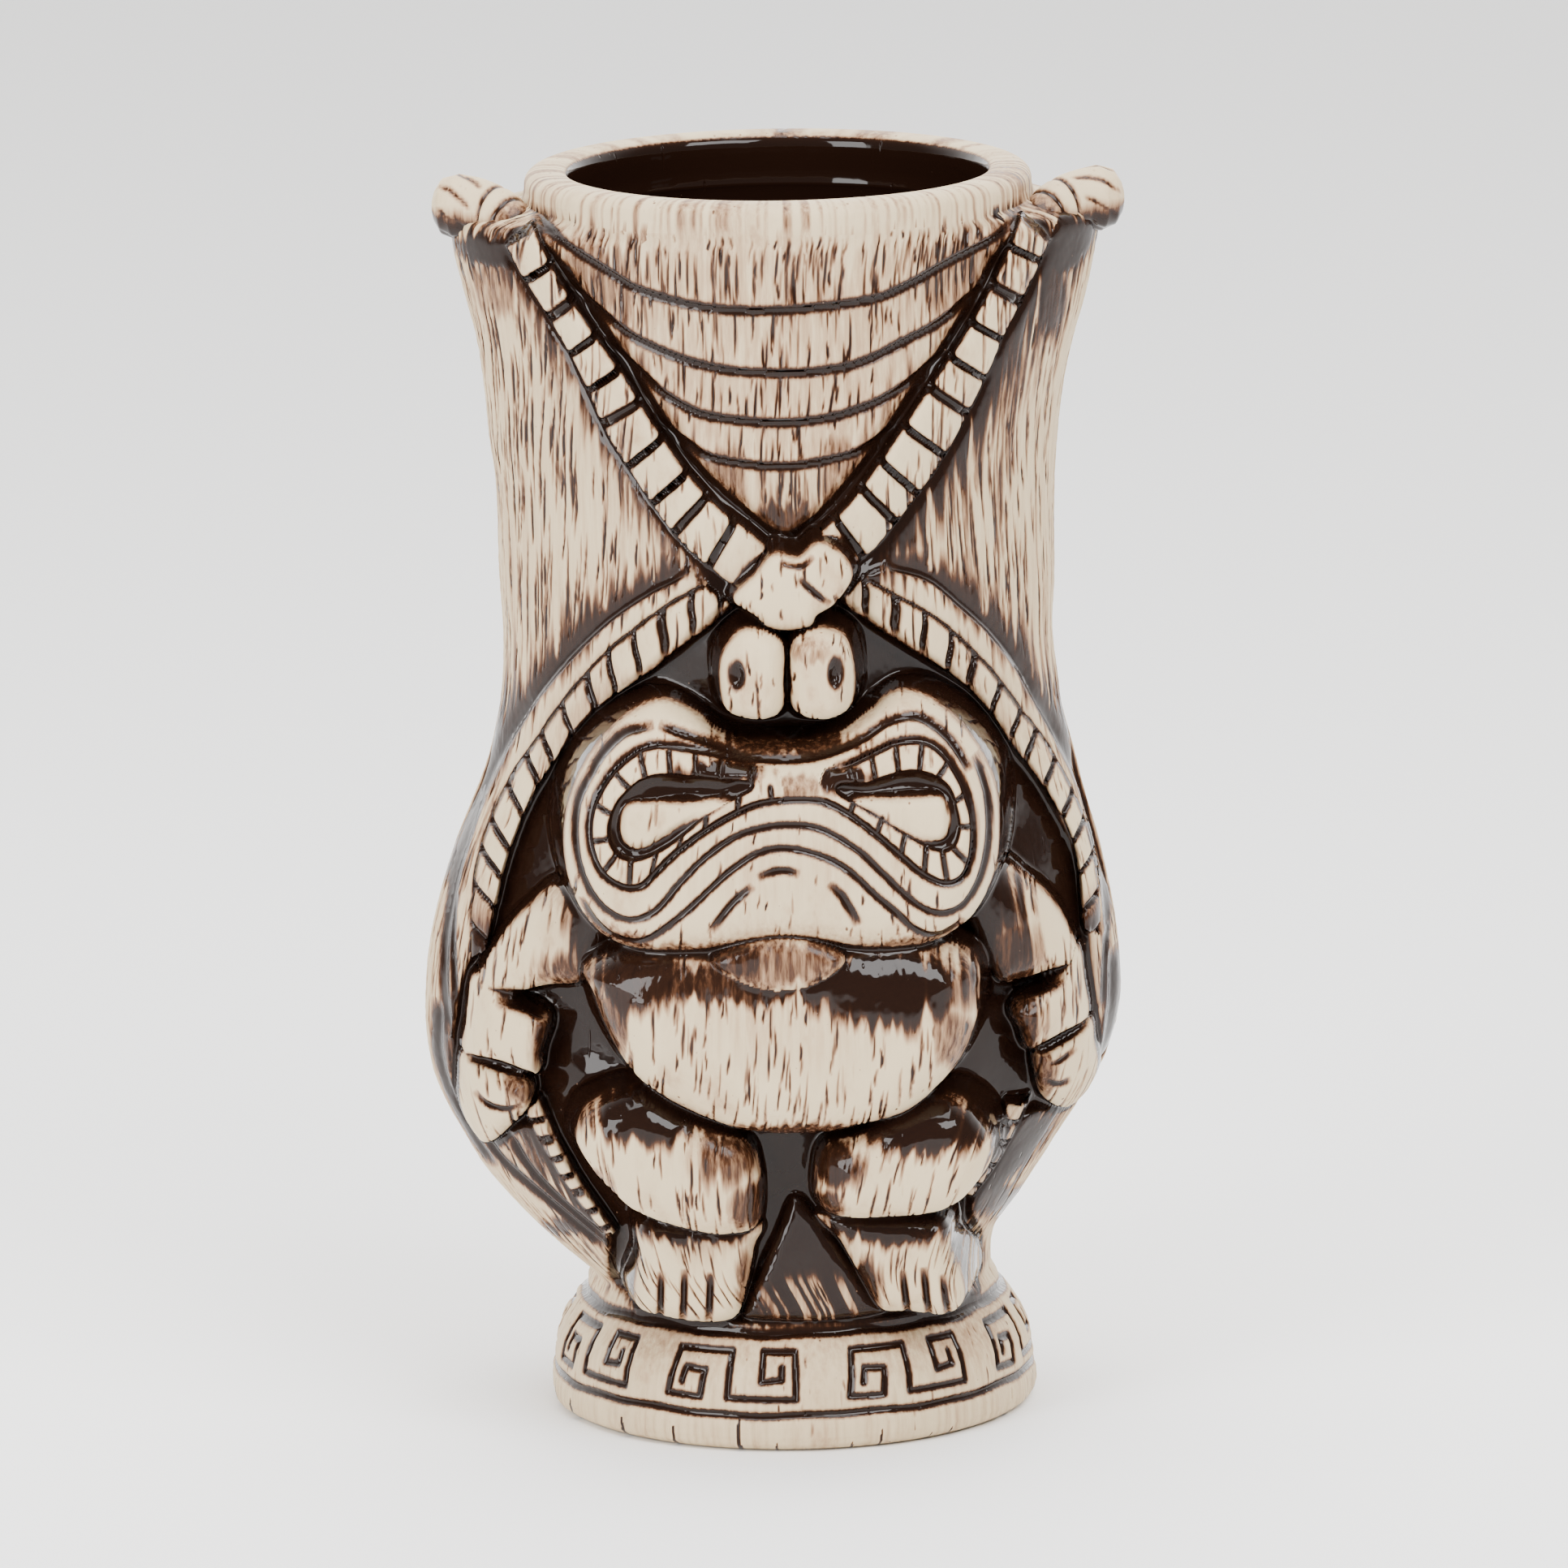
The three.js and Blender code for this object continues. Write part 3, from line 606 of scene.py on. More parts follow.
HAND_R = [
    (42.9, 58), (43.7, 54.4), (44.3, 50.4), (43.3, 46.3), (40.4, 44.4), (38, 45.4), (35.8, 48),
    (34.9, 51.4), (34.8, 55.2), (38, 56.4),
]
THIGH_L = [
    (-20.8, 54), (-28.4, 51), (-30.4, 47), (-30, 44.6), (-28, 41.4), (-25.6, 38.6), (-22.8, 36),
    (-18.6, 34), (-13, 32.4), (-8.6, 32), (-5.2, 33), (-4.4, 37), (-4.6, 42), (-6.4, 46.4),
    (-14, 50.5),
]
THIGH_R = [
    (4.6, 45), (10, 47.6), (18, 51.6), (24.4, 51), (28, 46.4), (28.4, 42.6), (26.4, 39.2),
    (23.6, 36.5), (19.6, 34.9), (13, 34.4), (6, 34.6), (3.6, 37), (3.4, 41),
]
FOOT_L = [
    (-20.6, 34), (-21.8, 28), (-22.8, 23), (-21.8, 20.2), (-18, 19), (-12, 18.3), (-8.2, 19),
    (-6.6, 23), (-5.4, 29), (-4.8, 33.4),
]
FOOT_R = [
    (3.6, 34.6), (6.6, 30), (9.6, 24.6), (12.4, 19.8), (16, 19.4), (21.6, 18.9), (24.2, 20.6),
    (24.2, 24), (22.6, 28.4), (20.6, 34),
]
LOINCLOTH = [
    (0, 37), (-2.4, 31), (-5, 24.6), (-7, 19.6), (-5.6, 18.4), (3, 18), (12, 18.9), (12.4, 20.4),
    (8, 27), (3.4, 34),
]

BAND_OUTER_L = [
    (-38.6, 171.4), (-36.7, 167.8), (-33.6, 163.2), (-30.2, 157.8), (-27.5, 152.5), (-24.8, 146.4),
    (-20.2, 139.4), (-15.3, 132.6), (-10.5, 128.2), (-5.4, 124.4),
]
BAND_INNER_L = [
    (-34.6, 175), (-32.6, 171), (-30.4, 167), (-27.4, 162.6), (-24.4, 158.4), (-21.3, 154.2),
    (-18.6, 149.6), (-15.6, 145.2), (-12.3, 140.8), (-8.5, 136.8), (-4.4, 133.6), (-0.6, 130.2),
]
BAND_OUTER_R = [
    (38.4, 171), (36.8, 167.6), (34.5, 163.2), (31.8, 158.6), (29.5, 153.8), (26.6, 148.2),
    (23.7, 143.2), (20.2, 138.4), (16.8, 134.4), (13.2, 130.6), (8.6, 126.8),
]
BAND_INNER_R = [
    (34.2, 175.2), (32.6, 171.6), (30.6, 167.4), (28.3, 163.4), (25.8, 159.4), (22.5, 154.8),
    (19, 150.2), (15.6, 145.3), (12.5, 141.2), (9.3, 137.2), (5.4, 133.6), (2, 130.8),
]

SIDE_BAND_OUTER_L = [(-38.6, 48.6), (-35.8, 42.4), (-31.6, 35.6), (-26.8, 29)]
SIDE_BAND_INNER_L = [(-35.6, 49.4), (-32.9, 43), (-29.2, 36.4), (-25, 30.2)]
SIDE_BAND_OUTER_R = [(34, 47.4), (32, 42.4), (29.4, 37.8), (26, 33.2)]
SIDE_BAND_INNER_R = [(30.6, 47.8), (28.9, 43), (26.6, 38.6), (23.6, 34.6)]

SWAGS = [
    [
        (-34.4, 176.4), (-31, 173.4), (-24.8, 170), (-19.6, 167.4), (-10.2, 165.4), (0, 165.1),
        (12.5, 166), (17.5, 167.4), (24, 170.2), (30.6, 172.7), (33.6, 175),
    ],
    [
        (-30, 167), (-24.8, 163.2), (-19.4, 160), (-10.2, 157), (0, 156.1), (10, 156.8), (17.5, 159.6),
        (22.9, 161.9), (28.4, 165.6),
    ],
    [
        (-25, 159.4), (-19.4, 155), (-15.5, 152.2), (-10, 149.9), (0, 149), (6.8, 149.5),
        (13.3, 151.2), (19, 154), (23.4, 157),
    ],
    [
        (-18.8, 149.2), (-13.6, 145.9), (-9.4, 143.8), (0, 142.7), (7.5, 143.5), (12.2, 144.8),
        (16.2, 147.2),
    ],
]
HAT = [
    (-33.6, 175), (-30.4, 168.4), (-24.4, 159.6), (-18.6, 151), (-12.3, 142), (-4.4, 134.6),
    (0.6, 131), (5.4, 134.6), (12.5, 142.4), (19, 151.4), (25.8, 160.6), (30.6, 168.6), (33.4, 175),
]

# The key band: one motif of two squared spirals, centred on u = 0, repeated round the foot.
KEY_MOTIF = [
    (-7.4, 9.5), (-7, 11.5), (-4, 11.3), (-4.5, 7.5), (-9.5, 7.7), (-8.6, 14), (-0.2, 14), (-0.4, 7.6),
    (9.4, 7.5), (9.4, 14), (4.6, 14), (4.5, 10), (7.4, 10.3), (7.4, 12),
]
KEY_COUNT = 8
KEY_FIRST = -9.2
KEY_RADIUS = 33.8

# Lines of the cloak's rim: points, width, cut and how far the glaze spreads.
CLOAK_LINES = [
    ([(-47.6, 79), (-48.2, 70), (-47.6, 60)], 0.5, 0.5, 1.0),
    ([(-50.2, 61), (-50.4, 52), (-47.4, 43.4), (-42.6, 36.4)], 0.6, 0.7, 1.5),
    ([(46.8, 66.8), (46.6, 58), (45.2, 49.6), (44.6, 47)], 0.7, 0.8, 1.6),
    ([(46.4, 72), (45.6, 66), (45.2, 58)], 0.5, 0.5, 1.0),
    ([(-44.2, 42.2), (-41.6, 38.4), (-34, 32.4), (-26.8, 27)], 0.6, 0.7, 1.3),
    ([(-40.6, 43.4), (-37.8, 38.4), (-33.6, 34), (-26.8, 28.4)], 0.6, 0.7, 1.3),
]
# Arms and hands: outline, height over the cup, middle, bulge and drop at the rim.
ARM_FORMS = [
    ("upper_arm_left", UPPER_ARM_L, 5.4, (-34, 73), (24, 22), 4.5),
    ("upper_arm_right", UPPER_ARM_R, 5.4, (33, 74), (24, 22), 4.5),
    ("forearm_left", FOREARM_L, 6.0, (-40, 60), (22, 22), 5.0),
    ("forearm_right", FOREARM_R, 6.0, (37.5, 62), (22, 22), 5.0),
    ("hand_left", HAND_L, 5.8, (-42, 49), (18, 16), 5.2),
    ("hand_right", HAND_R, 5.8, (39.6, 51), (18, 16), 5.2),
]
# Creases of the elbows, wrists and fingers: points, width, cut and how far the glaze spreads.
ARM_LINES = [
    ([(-41.8, 64.5), (-38, 64), (-33.6, 62.6)], 0.9, 1.3, 1.2),
    ([(39.4, 65.8), (36, 65.2), (32, 64.2)], 0.9, 1.3, 1.2),
    ([(-46.2, 54.5), (-42, 54.4), (-38.6, 53.6), (-36.4, 53.2)], 0.6, 0.9, 1.0),
    ([(34.4, 55.2), (38, 56.2), (42.8, 58)], 0.6, 0.9, 1.0),
    ([(-45.2, 50), (-43.4, 48.6), (-40.6, 48.2), (-38, 49)], 0.45, 0.6, 1.0),
    ([(36, 51), (38.4, 50), (40.2, 50.4)], 0.45, 0.6, 1.0),
]
# Gaps between the toes: x, lowest and highest z, and how far the ends lean.
TOE_LINES = [
    (-18.9, 18.6, 26.6, 0.2), (-15.6, 18.6, 27, 0.2), (-11.9, 18.6, 26.4, 0.2), (16, 18.8, 26.4, -0.4),
    (19, 18.8, 26.8, -0.4), (21.7, 18.8, 25.6, -0.4),
]
# Middle and half sizes.
NOSTRILS = [((-6.7, 114.8), (1.1, 1.9)), ((7.2, 115), (1.05, 2.1))]


# --- The sculpture, from the back layers to the front ---

def sculpt_cloak():
    """The cloak's rim lines at the sides and the recess that the figure stands in."""
    hollow(NICHE, 2.6, soft=1.6)
    for outer, middle in ((BROW_OUTER_L, BROW_MIDDLE_L), (BROW_OUTER_R, BROW_MIDDLE_R)):
        band = np.vstack([smooth_line(outer), smooth_line(middle)[::-1]])
        at, x, z = window(band, 3.0)
        depth[at] += 1.1 * smoothstep(-0.8, 0.9, inside_distance(x, z, band))
        groove(outer, width=0.6, cut=0.7)
    for points, width, cut, spread in CLOAK_LINES:
        groove(points, width, cut, spread=spread)


def sculpt_side_ropes():
    rope("side_rope_left", SIDE_BAND_OUTER_L, SIDE_BAND_INNER_L, 1.2, 3.0, cut=0.8, open_inside=True)
    rope("side_rope_right", SIDE_BAND_OUTER_R, SIDE_BAND_INNER_R, 1.6, 3.4, cut=1.1)


def sculpt_brow_ropes():
    shared = dict(slant=-0.5, open_inside=True)
    rope("brow_rope_left", BROW_MIDDLE_L, BROW_INNER_L, 2.2, 5.0, fade=0.18, **shared)
    rope("brow_rope_right", BROW_MIDDLE_R, BROW_INNER_R, 2.2, 5.0, phase=0.4, fade=0.12, **shared)


def sculpt_hat():
    """The hat between the headband ropes: a rounded field in overlapping layers."""
    line = smooth_line(HAT, closed=True)
    at, x, z = window(line, 4.0)
    inside = inside_distance(x, z, line)
    gutter = np.exp(-(((inside - 0.2) / 1.3) ** 2)) * smoothstep(176.5, 171.0, z)
    depth[at] -= 1.5 * gutter
    add_glaze(at, smoothstep(0.25, 0.7, gutter))
    for points in SWAGS:
        distance, _, side = nearest_on(x, z, smooth_line(points))
        above = np.where(side > 0, distance, 0)
        depth[at] += 0.95 * np.exp(-above / 4.0) * (side > 0) * smoothstep(0.3, 3.0, inside)
    for points in SWAGS:
        groove(points, width=0.62, cut=0.75, spread=1.25)


def sculpt_headband():
    for line in (BAND_OUTER_L, BAND_OUTER_R):
        groove(line, width=0.8, cut=0.9, spread=1.1)
    rope("headband_left", BAND_OUTER_L, BAND_INNER_L, 3.0, 5.6, slant=0.1, cut=1.0)
    rope("headband_right", BAND_OUTER_R, BAND_INNER_R, 3.0, 5.7, slant=0.1, phase=0.35, cut=1.0)


def sculpt_arms():
    for name, outline, height, middle, bulge, drop in ARM_FORMS:
        lump(name, outline, height, middle, bulge, 4.5, drop, relative=True)
    for points, width, cut, spread in ARM_LINES:
        groove(points, width, cut, spread=spread)
    groove([(36.4, 53.4), (38.6, 53.6), (41, 55)], width=0.4, cut=0.4, dark=0.8)


def sculpt_legs():
    lump(None, LOINCLOTH, 31.6, (1, 26), (30, 30), 2.2, 2.0)
    lump("foot_left", FOOT_L, 34.4, (-13.5, 24), (15, 16), 3.6, 4.2)
    lump("foot_right", FOOT_R, 34.4, (17, 24), (15, 16), 3.6, 4.2)
    lump("thigh_left", THIGH_L, 40.0, (-15, 42), (15.5, 13), 5.5, 5.5)
    lump("thigh_right", THIGH_R, 40.0, (15, 42), (15.5, 13), 5.5, 5.5)
    for x, low, high, lean in TOE_LINES:
        groove([(x - lean, low), (x, 22), (x + lean, high)], width=0.45, cut=0.8)


def sculpt_belly():
    lump("belly", BELLY, 44.6, (-0.5, 59), (17.5, 13.5), 7.5, 7.0)
    lump("chin_roll", CHIN, 45.2, (-1, 73), (11, 6.5), 2.4, 2.2)


def sculpt_eye(side, ring, socket, eye):
    """A raised ring, a sunk socket inside it, and a domed eye in the socket."""
    ring_line, socket_line, eye_line = (smooth_line(line, closed=True) for line in (ring, socket, eye))
    at, x, z = window(ring_line, 3.0)
    in_ring = inside_distance(x, z, ring_line)
    in_socket = inside_distance(x, z, socket_line)
    block = label[at]
    on_face = block == names.index("face")
    block[on_face & (in_ring > 0)] = new_label("eye_ring_" + side)
    block[on_face & (in_socket > -0.2)] = new_label("eye_" + side)
    depth[at] += 0.5 * smoothstep(0.0, 1.2, in_ring) * smoothstep(0.0, 1.2, -in_socket)
    depth[at] -= 1.7 * smoothstep(-0.5, 1.0, in_socket)
    add_glaze(at, smoothstep(-0.5, 0.3, in_socket))
    groove(socket, width=0.45, cut=0.5, closed=True)
    in_eye = inside_distance(x, z, eye_line) + 0.5
    depth[at] += 2.0 * smoothstep(-0.5, 1.6, in_eye)
    glaze[at] = np.where(in_eye > 0.15, glaze[at] * smoothstep(0.9, 0.15, in_eye), glaze[at])


def sculpt_face():
    lump("face", FACE, 46.4, (-0.8, 86), (19.5, 12.5), 8.0, 8.2)
    sculpt_eye("left", RING_L, SOCKET_L, EYE_L)
    sculpt_eye("right", RING_R, SOCKET_R, EYE_R)


RING_CUTS_L = [
    ((-24.2, 101), (-22, 98.8)), ((-20.6, 104), (-19.8, 100.6)), ((-16.4, 104), (-16.2, 101)),
    ((-12.6, 103.4), (-12.6, 100.6)), ((-9, 102.6), (-9.3, 100.2)), ((-4.6, 101.6), (-5, 99.8)),
    ((-27, 96.4), (-24.6, 95.3)), ((-27.6, 91.2), (-25, 91.8)), ((-25.8, 87.2), (-24, 89.6)),
    ((-22.2, 85.6), (-22, 88.6)), ((-19, 86.6), (-18.5, 89.8)), ((-15, 90), (-15, 92.2)),
    ((-11.4, 92.8), (-11.3, 95)), ((-6.8, 95.6), (-6.7, 97.8)), ((-2, 97), (-2.2, 99)),
]
RING_CUTS_R = [
    ((22.8, 101.6), (21, 99.4)), ((19.2, 104.4), (18.8, 101)), ((15.4, 104.4), (15.8, 100.8)),
    ((12, 103), (12.6, 99.8)), ((9, 101.6), (9.6, 99)), ((25.2, 97.2), (23.4, 96.2)),
    ((26, 92.6), (24, 92.8)), ((25.4, 87.6), (23.2, 90)), ((22.4, 85.2), (21.8, 89.6)),
    ((19.2, 86.6), (19.6, 90.4)), ((16, 89.2), (16.6, 92)), ((12.6, 92.2), (13.4, 94.4)),
    ((8.8, 95), (9.4, 96.6)),
]
FACE_LINES = [
    [
        (-27.4, 100.6), (-29.4, 96.2), (-29.9, 91.6), (-29.3, 87.3), (-27.8, 83.8), (-25.5, 81.2),
        (-22.8, 80), (-20.4, 80.4), (-18, 82), (-15.2, 85.4), (-11.7, 89), (-7.8, 91.8), (-4.4, 93.1),
        (0, 93.7), (4.8, 93), (9.8, 90), (13.3, 86.6), (16.8, 83), (19.8, 80.8), (22.5, 80.2),
        (25.2, 81.5), (27.5, 85.4), (28.6, 91.2), (28.3, 97), (26.6, 102),
    ],
    [
        (-29.2, 82.6), (-27.4, 79.4), (-24.8, 77), (-22, 76.3), (-20, 76.8), (-17.4, 78.7),
        (-13.6, 82), (-10.5, 85), (-7.8, 87.4), (-4, 89.8), (0, 90.4), (4.8, 89.2), (8.7, 87),
        (12.5, 83.2), (15.4, 80.6), (17.6, 78.2), (20, 76.7), (22.4, 76.8), (25, 78.6),
    ],
    [
        (-17.8, 107.2), (-12, 105.2), (-6, 102.9), (0, 102.4), (5, 102.9), (10, 104.6), (15, 107.4),
        (19, 107.6), (23, 104.6), (26, 100),
    ],
    [(-28.4, 98.4), (-26.2, 102.4), (-22.6, 105.8), (-18.4, 107.2)],
]
MOUTH_LINES = [
    [(-4.2, 86.2), (-2, 87.1), (0, 87.2), (1.8, 86.6)],
    [(-4.8, 85.2), (-7.4, 82.9), (-9.6, 80.2), (-10.9, 78)],
    [(5.8, 85.4), (7.6, 83.4), (9.2, 80.6), (9.9, 79)],
]


# The eye rings' outer line: round the left ring, over the bridge and round the right ring.
RINGS_LINE = [
    (-3.5, 102), *RING_L[2:17], (-4, 96.6), (0.5, 97.2), (5, 96.9), *RING_R[15:0:-1], (6.6, 101.3),
]


def sculpt_face_lines():
    groove(RINGS_LINE, width=0.5, cut=0.8)
    for start, end in RING_CUTS_L + RING_CUTS_R:
        groove([start, end], width=0.38, cut=0.6, smooth=False, taper=False)
    for line in FACE_LINES:
        groove(line, width=0.5, cut=0.65)
    for line in MOUTH_LINES:
        groove(line, width=0.55, cut=0.7)


def sculpt_nose_and_knot():
    lump("nose_left", NOSE_L, 44.4, (-4.4, 113.5), (7, 9), 2.8, 3.6)
    lump("nose_right", NOSE_R, 44.4, (5.1, 113.5), (7, 9), 2.8, 3.6)
    for middle, size in NOSTRILS:
        at, x, z = window_round(middle, (4, 4))
        away = np.hypot(x / size[0], z / size[1])
        cut_to(at, -1.3 * smoothstep(1.25, 0.3, away))
        add_glaze(at, smoothstep(1.5, 0.8, away))
    lump("forehead_knot", KNOT, 41.2, (1.4, 126), (11, 10), 1.6, 1.6)
    groove([(2.2, 128), (4.2, 126), (6.6, 124)], width=0.45, cut=0.5)
    groove([(-0.6, 130.2), (2.4, 129.6), (4.4, 131)], width=0.4, cut=0.5, dark=0.8)


def sculpt_foot():
    """Ring grooves and the key band. They run all round, so they use arc length, not x."""
    rows = slice(0, int(np.searchsorted(LEVELS, 19.0)))
    z = Z[rows]
    arc = ANGLES[None, :] * KEY_RADIUS * np.ones_like(z)
    pitch = 2 * math.pi * KEY_RADIUS / KEY_COUNT
    u = np.mod(arc - KEY_FIRST + pitch / 2, pitch) - pitch / 2
    key, _, _ = nearest_on(u, z, np.array(KEY_MOTIF, float))
    waver = 0.12 * np.sin(arc * 0.21) + 0.08 * np.sin(arc * 0.57 + 1)
    lower = np.abs(z - 5.3 - waver)
    upper = np.abs(z - 16.4 - waver)
    for distance, width, cut in ((key, 0.48, 0.65), (lower, 0.5, 0.65), (upper, 0.7, 0.8)):
        cut_to(rows, -cut * np.exp(-((distance / width) ** 2)))
        add_glaze(rows, np.exp(-((distance / (width * 1.25)) ** 4)))


def sculpt():
    sculpt_cloak()
    sculpt_side_ropes()
    sculpt_brow_ropes()
    sculpt_hat()
    sculpt_headband()
    sculpt_arms()
    sculpt_legs()
    sculpt_belly()
    sculpt_face()
    sculpt_face_lines()
    sculpt_nose_and_knot()
    sculpt_foot()


sculpt()


# --- Glaze that stays in the recesses ---

def id_of(*wanted):
    return [names.index(name) for name in wanted]


# Smears of glaze that the wiping left on each feature: x, z, half sizes across and up, amount and
# tilt in degrees.
SMEARS = {
    "upper_arm_left": [(-24.5, 77, 7, 8, 1.0, 20), (-30, 69, 6, 4, 0.6, 0)],
    "upper_arm_right": [(25, 78, 9, 8, 1.0, -30), (31, 70, 5, 6, 0.75, 0)],
    "forearm_left": [(-34, 58, 3, 6, 0.75, 0)],
    "forearm_right": [(33, 60, 3.4, 6, 0.7, 0)],
    "hand_left": [(-38, 52, 3, 3, 0.6, 0)],
    "hand_right": [(35.5, 52, 2.5, 4, 0.6, 0)],
    "belly": [
        (14, 69.6, 13, 6.0, 1.0, -4), (-22, 71, 8, 4.5, 0.85, 10), (5, 71, 16, 3.6, 1.0, 0),
        (-6, 70.5, 20, 3.2, 0.75, 0), (-26, 64, 2.6, 6, 0.6, 0), (24, 60, 3, 8, 0.5, 20),
        (0, 47.8, 14, 2.2, 0.7, 0),
    ],
    "thigh_left": [
        (-19, 51, 13, 4.4, 1.0, 6), (-8, 45, 6, 5, 0.6, 0), (-5.6, 37, 3, 4, 0.7, 0),
        (-28, 40, 3, 3, 0.45, 0),
    ],
    "thigh_right": [(16, 49, 15, 4.4, 1.0, -6), (6, 43, 5, 4, 0.8, 0), (5, 36.5, 3, 3, 0.7, 0)],
    "foot_left": [(-14, 33.4, 10, 3.0, 1.0, 0), (-6.6, 24, 1.6, 5, 0.5, 0)],
    "foot_right": [(14, 33.2, 11, 3.4, 1.0, 0), (10, 23, 2.5, 6, 0.8, 0)],
    "chin_roll": [(-1, 73.5, 11, 4, 0.5, 0), (-8, 74, 5, 3, 0.75, 0), (5, 74.5, 4, 2.4, 0.6, 0)],
    "face": [
        (-4, 74.5, 20, 2.4, 0.55, 0), (-23, 76, 7, 2.4, 0.5, -20), (14, 74.6, 12, 1.8, 0.5, 10),
        (0, 104.5, 13, 1.7, 0.75, 0), (0, 98.6, 5, 2, 0.42, 0),
    ],
    "eye_ring_left": [(-9.4, 100.9, 6, 2.0, 1.0, 4)],
    "eye_ring_right": [(8.4, 100, 4.2, 1.9, 0.95, 0)],
    "nose_left": [(3.6, 118, 3, 2, 0.35, 0)],
    "nose_right": [(3.6, 118, 3, 2, 0.35, 0)],
    "cup": [
        (-40.5, 170, 6.5, 2.4, 1.0, 0), (41, 169, 5.5, 3.4, 1.0, 35), (38.5, 163, 2.6, 8, 0.8, 0),
        (-40, 165, 4, 5, 0.4, 0), (27, 168, 9, 7, 0.4, 30), (-26, 168, 8, 7, 0.45, -30),
        (32, 38.5, 3.6, 10, 1.0, -41), (0, 158, 32, 26, 0.16, 0), (0, 178.5, 40, 3.5, 0.12, 0),
        (0, 134.5, 6, 3.5, 0.7, 0), (-9, 141, 4, 5, 0.5, -30), (10, 142, 3, 5, 0.5, 30),
        (0, 19, 24, 2.2, 0.85, 0), (2, 27, 5, 8, 0.9, 0), (2, 20, 6, 3, 0.45, 0),
        (-48.6, 56, 1.6, 9, 0.7, 0), (46.4, 54, 1.6, 9, 0.6, 0), (-30, 31.6, 8, 2.4, 0.8, 42),
        (28, 33, 9, 4, 0.8, -50), (-24, 21, 2.4, 3, 0.6, 0), (-44, 44, 2.5, 6, 0.6, -20),
    ],
}

# Stains on the cup beside a line: the line, how far they reach, how dark, and on which side.
STAINS = [
    (BAND_OUTER_R, 7.5, 1.0, 1), (BAND_OUTER_L, 4.5, 0.75, -1), (BAND_INNER_R, 6.0, 0.6, -1),
    (BAND_INNER_L, 6.0, 0.6, 1), (BROW_OUTER_R[:7], 4.5, 0.85, 1), (BROW_OUTER_L[:8], 5.0, 0.85, -1),
    (BROW_OUTER_R, 1.8, 0.7, -1), (BROW_OUTER_L, 1.8, 0.7, 1), (SIDE_BAND_OUTER_R, 7.0, 1.0, 1),
    (SIDE_BAND_OUTER_L, 4.0, 0.9, -1),
]


def blur_mm(field, reach):
    """Blur a field of the front by a length in mm."""
    return blur(field, reach / ROW_STEP, reach / FRONT_STEP)


def leave_glaze():
    """Glaze stays where the surface lies lower than what is around it."""
    relief = (depth - BARE_DEPTH)[FRONT]
    wide = blur_mm(relief, 2.0) - relief
    near = blur_mm(relief, 0.8) - relief
    add_glaze(FRONT, np.maximum(smoothstep(0.28, 1.2, wide), 0.9 * smoothstep(0.15, 0.55, near)))
    for feature, smears in SMEARS.items():
        for x, z, across, up, amount, tilt in smears:
            smear((x, z), (across, up), amount, tilt, feature)
    for line, reach, amount, side in STAINS:
        stain_beside(line, reach, amount, side)
    wipe((3, 21.5), (11, 5), 0.75)
    wipe((26.5, 24), (4, 8), 0.85)
    # Painted shade and a thin glaze film near every form's border: a faint, streaky darkening of the
    # low ground beside the forms.
    broad = blur_mm(relief, 4.5) - relief
    add_glaze(FRONT, 0.2 * smoothstep(-0.9, 1.5, broad + 0.12 * STREAKS[FRONT]))
    # Thick glaze lies in slow waves.
    waves = blur_mm(np.random.default_rng(17).normal(0, 1, relief.shape), 2.2)
    thick = smoothstep(0.7, 1.0, blur(glaze[FRONT], 3.0, 3.0))
    depth[FRONT] += 0.16 * thick * waves / waves.std()
    # Pooled glaze rounds off the bottoms of the recesses.
    pooled = smoothstep(0.55, 1.0, blur(glaze[FRONT], 2.0, 2.0))
    softened = blur(relief, 1.6, 1.6)
    depth[FRONT] += pooled * np.maximum(softened - relief, 0) * 0.9


# --- Carved wood grain ---

# Strokes fill up where glaze lies thick.
DRY = np.ones_like(glaze)


# Features that carry the figure's finer grain, and those of them with the shortest strokes.
FIGURE = [
    "belly", "thigh_left", "thigh_right", "face", "upper_arm_left", "upper_arm_right", "forearm_left",
    "forearm_right", "foot_left", "foot_right", "nose_left", "nose_right", "forehead_knot",
]
SHORT_GRAIN = ("face", "nose_left", "nose_right", "forehead_knot")


def gouge(row, column, rows_long, half_width, cut, dark, lean):
    """One tapered stroke cut into the clay, running up the surface."""
    top = min(ROWS - 2, row + rows_long)
    spread = int(half_width * 3) + 2 + int(abs(lean) * rows_long) + 1
    low, high = max(0, int(column) - spread), min(COLUMNS, int(column) + spread + 1)
    if top - row < 4 or high - low < 3:
        return
    r = np.arange(row, top)[:, None]
    share = (r - row) / (top - row)
    strength = np.sin(np.pi * share**0.8) ** 0.7
    centre = column + lean * (r - row) + 0.5 * np.sin(share * 5.0 + column)
    away = (np.arange(low, high)[None, :] - centre) / (half_width * (0.4 + 0.6 * strength))
    profile = np.exp(-(away**2)) * strength * DRY[row:top, low:high]
    block = carve[row:top, low:high]
    np.minimum(block, -cut * profile, out=block)
    stain = glaze[row:top, low:high]
    np.maximum(stain, dark * np.exp(-((away / 1.15) ** 4)) * strength, out=stain)


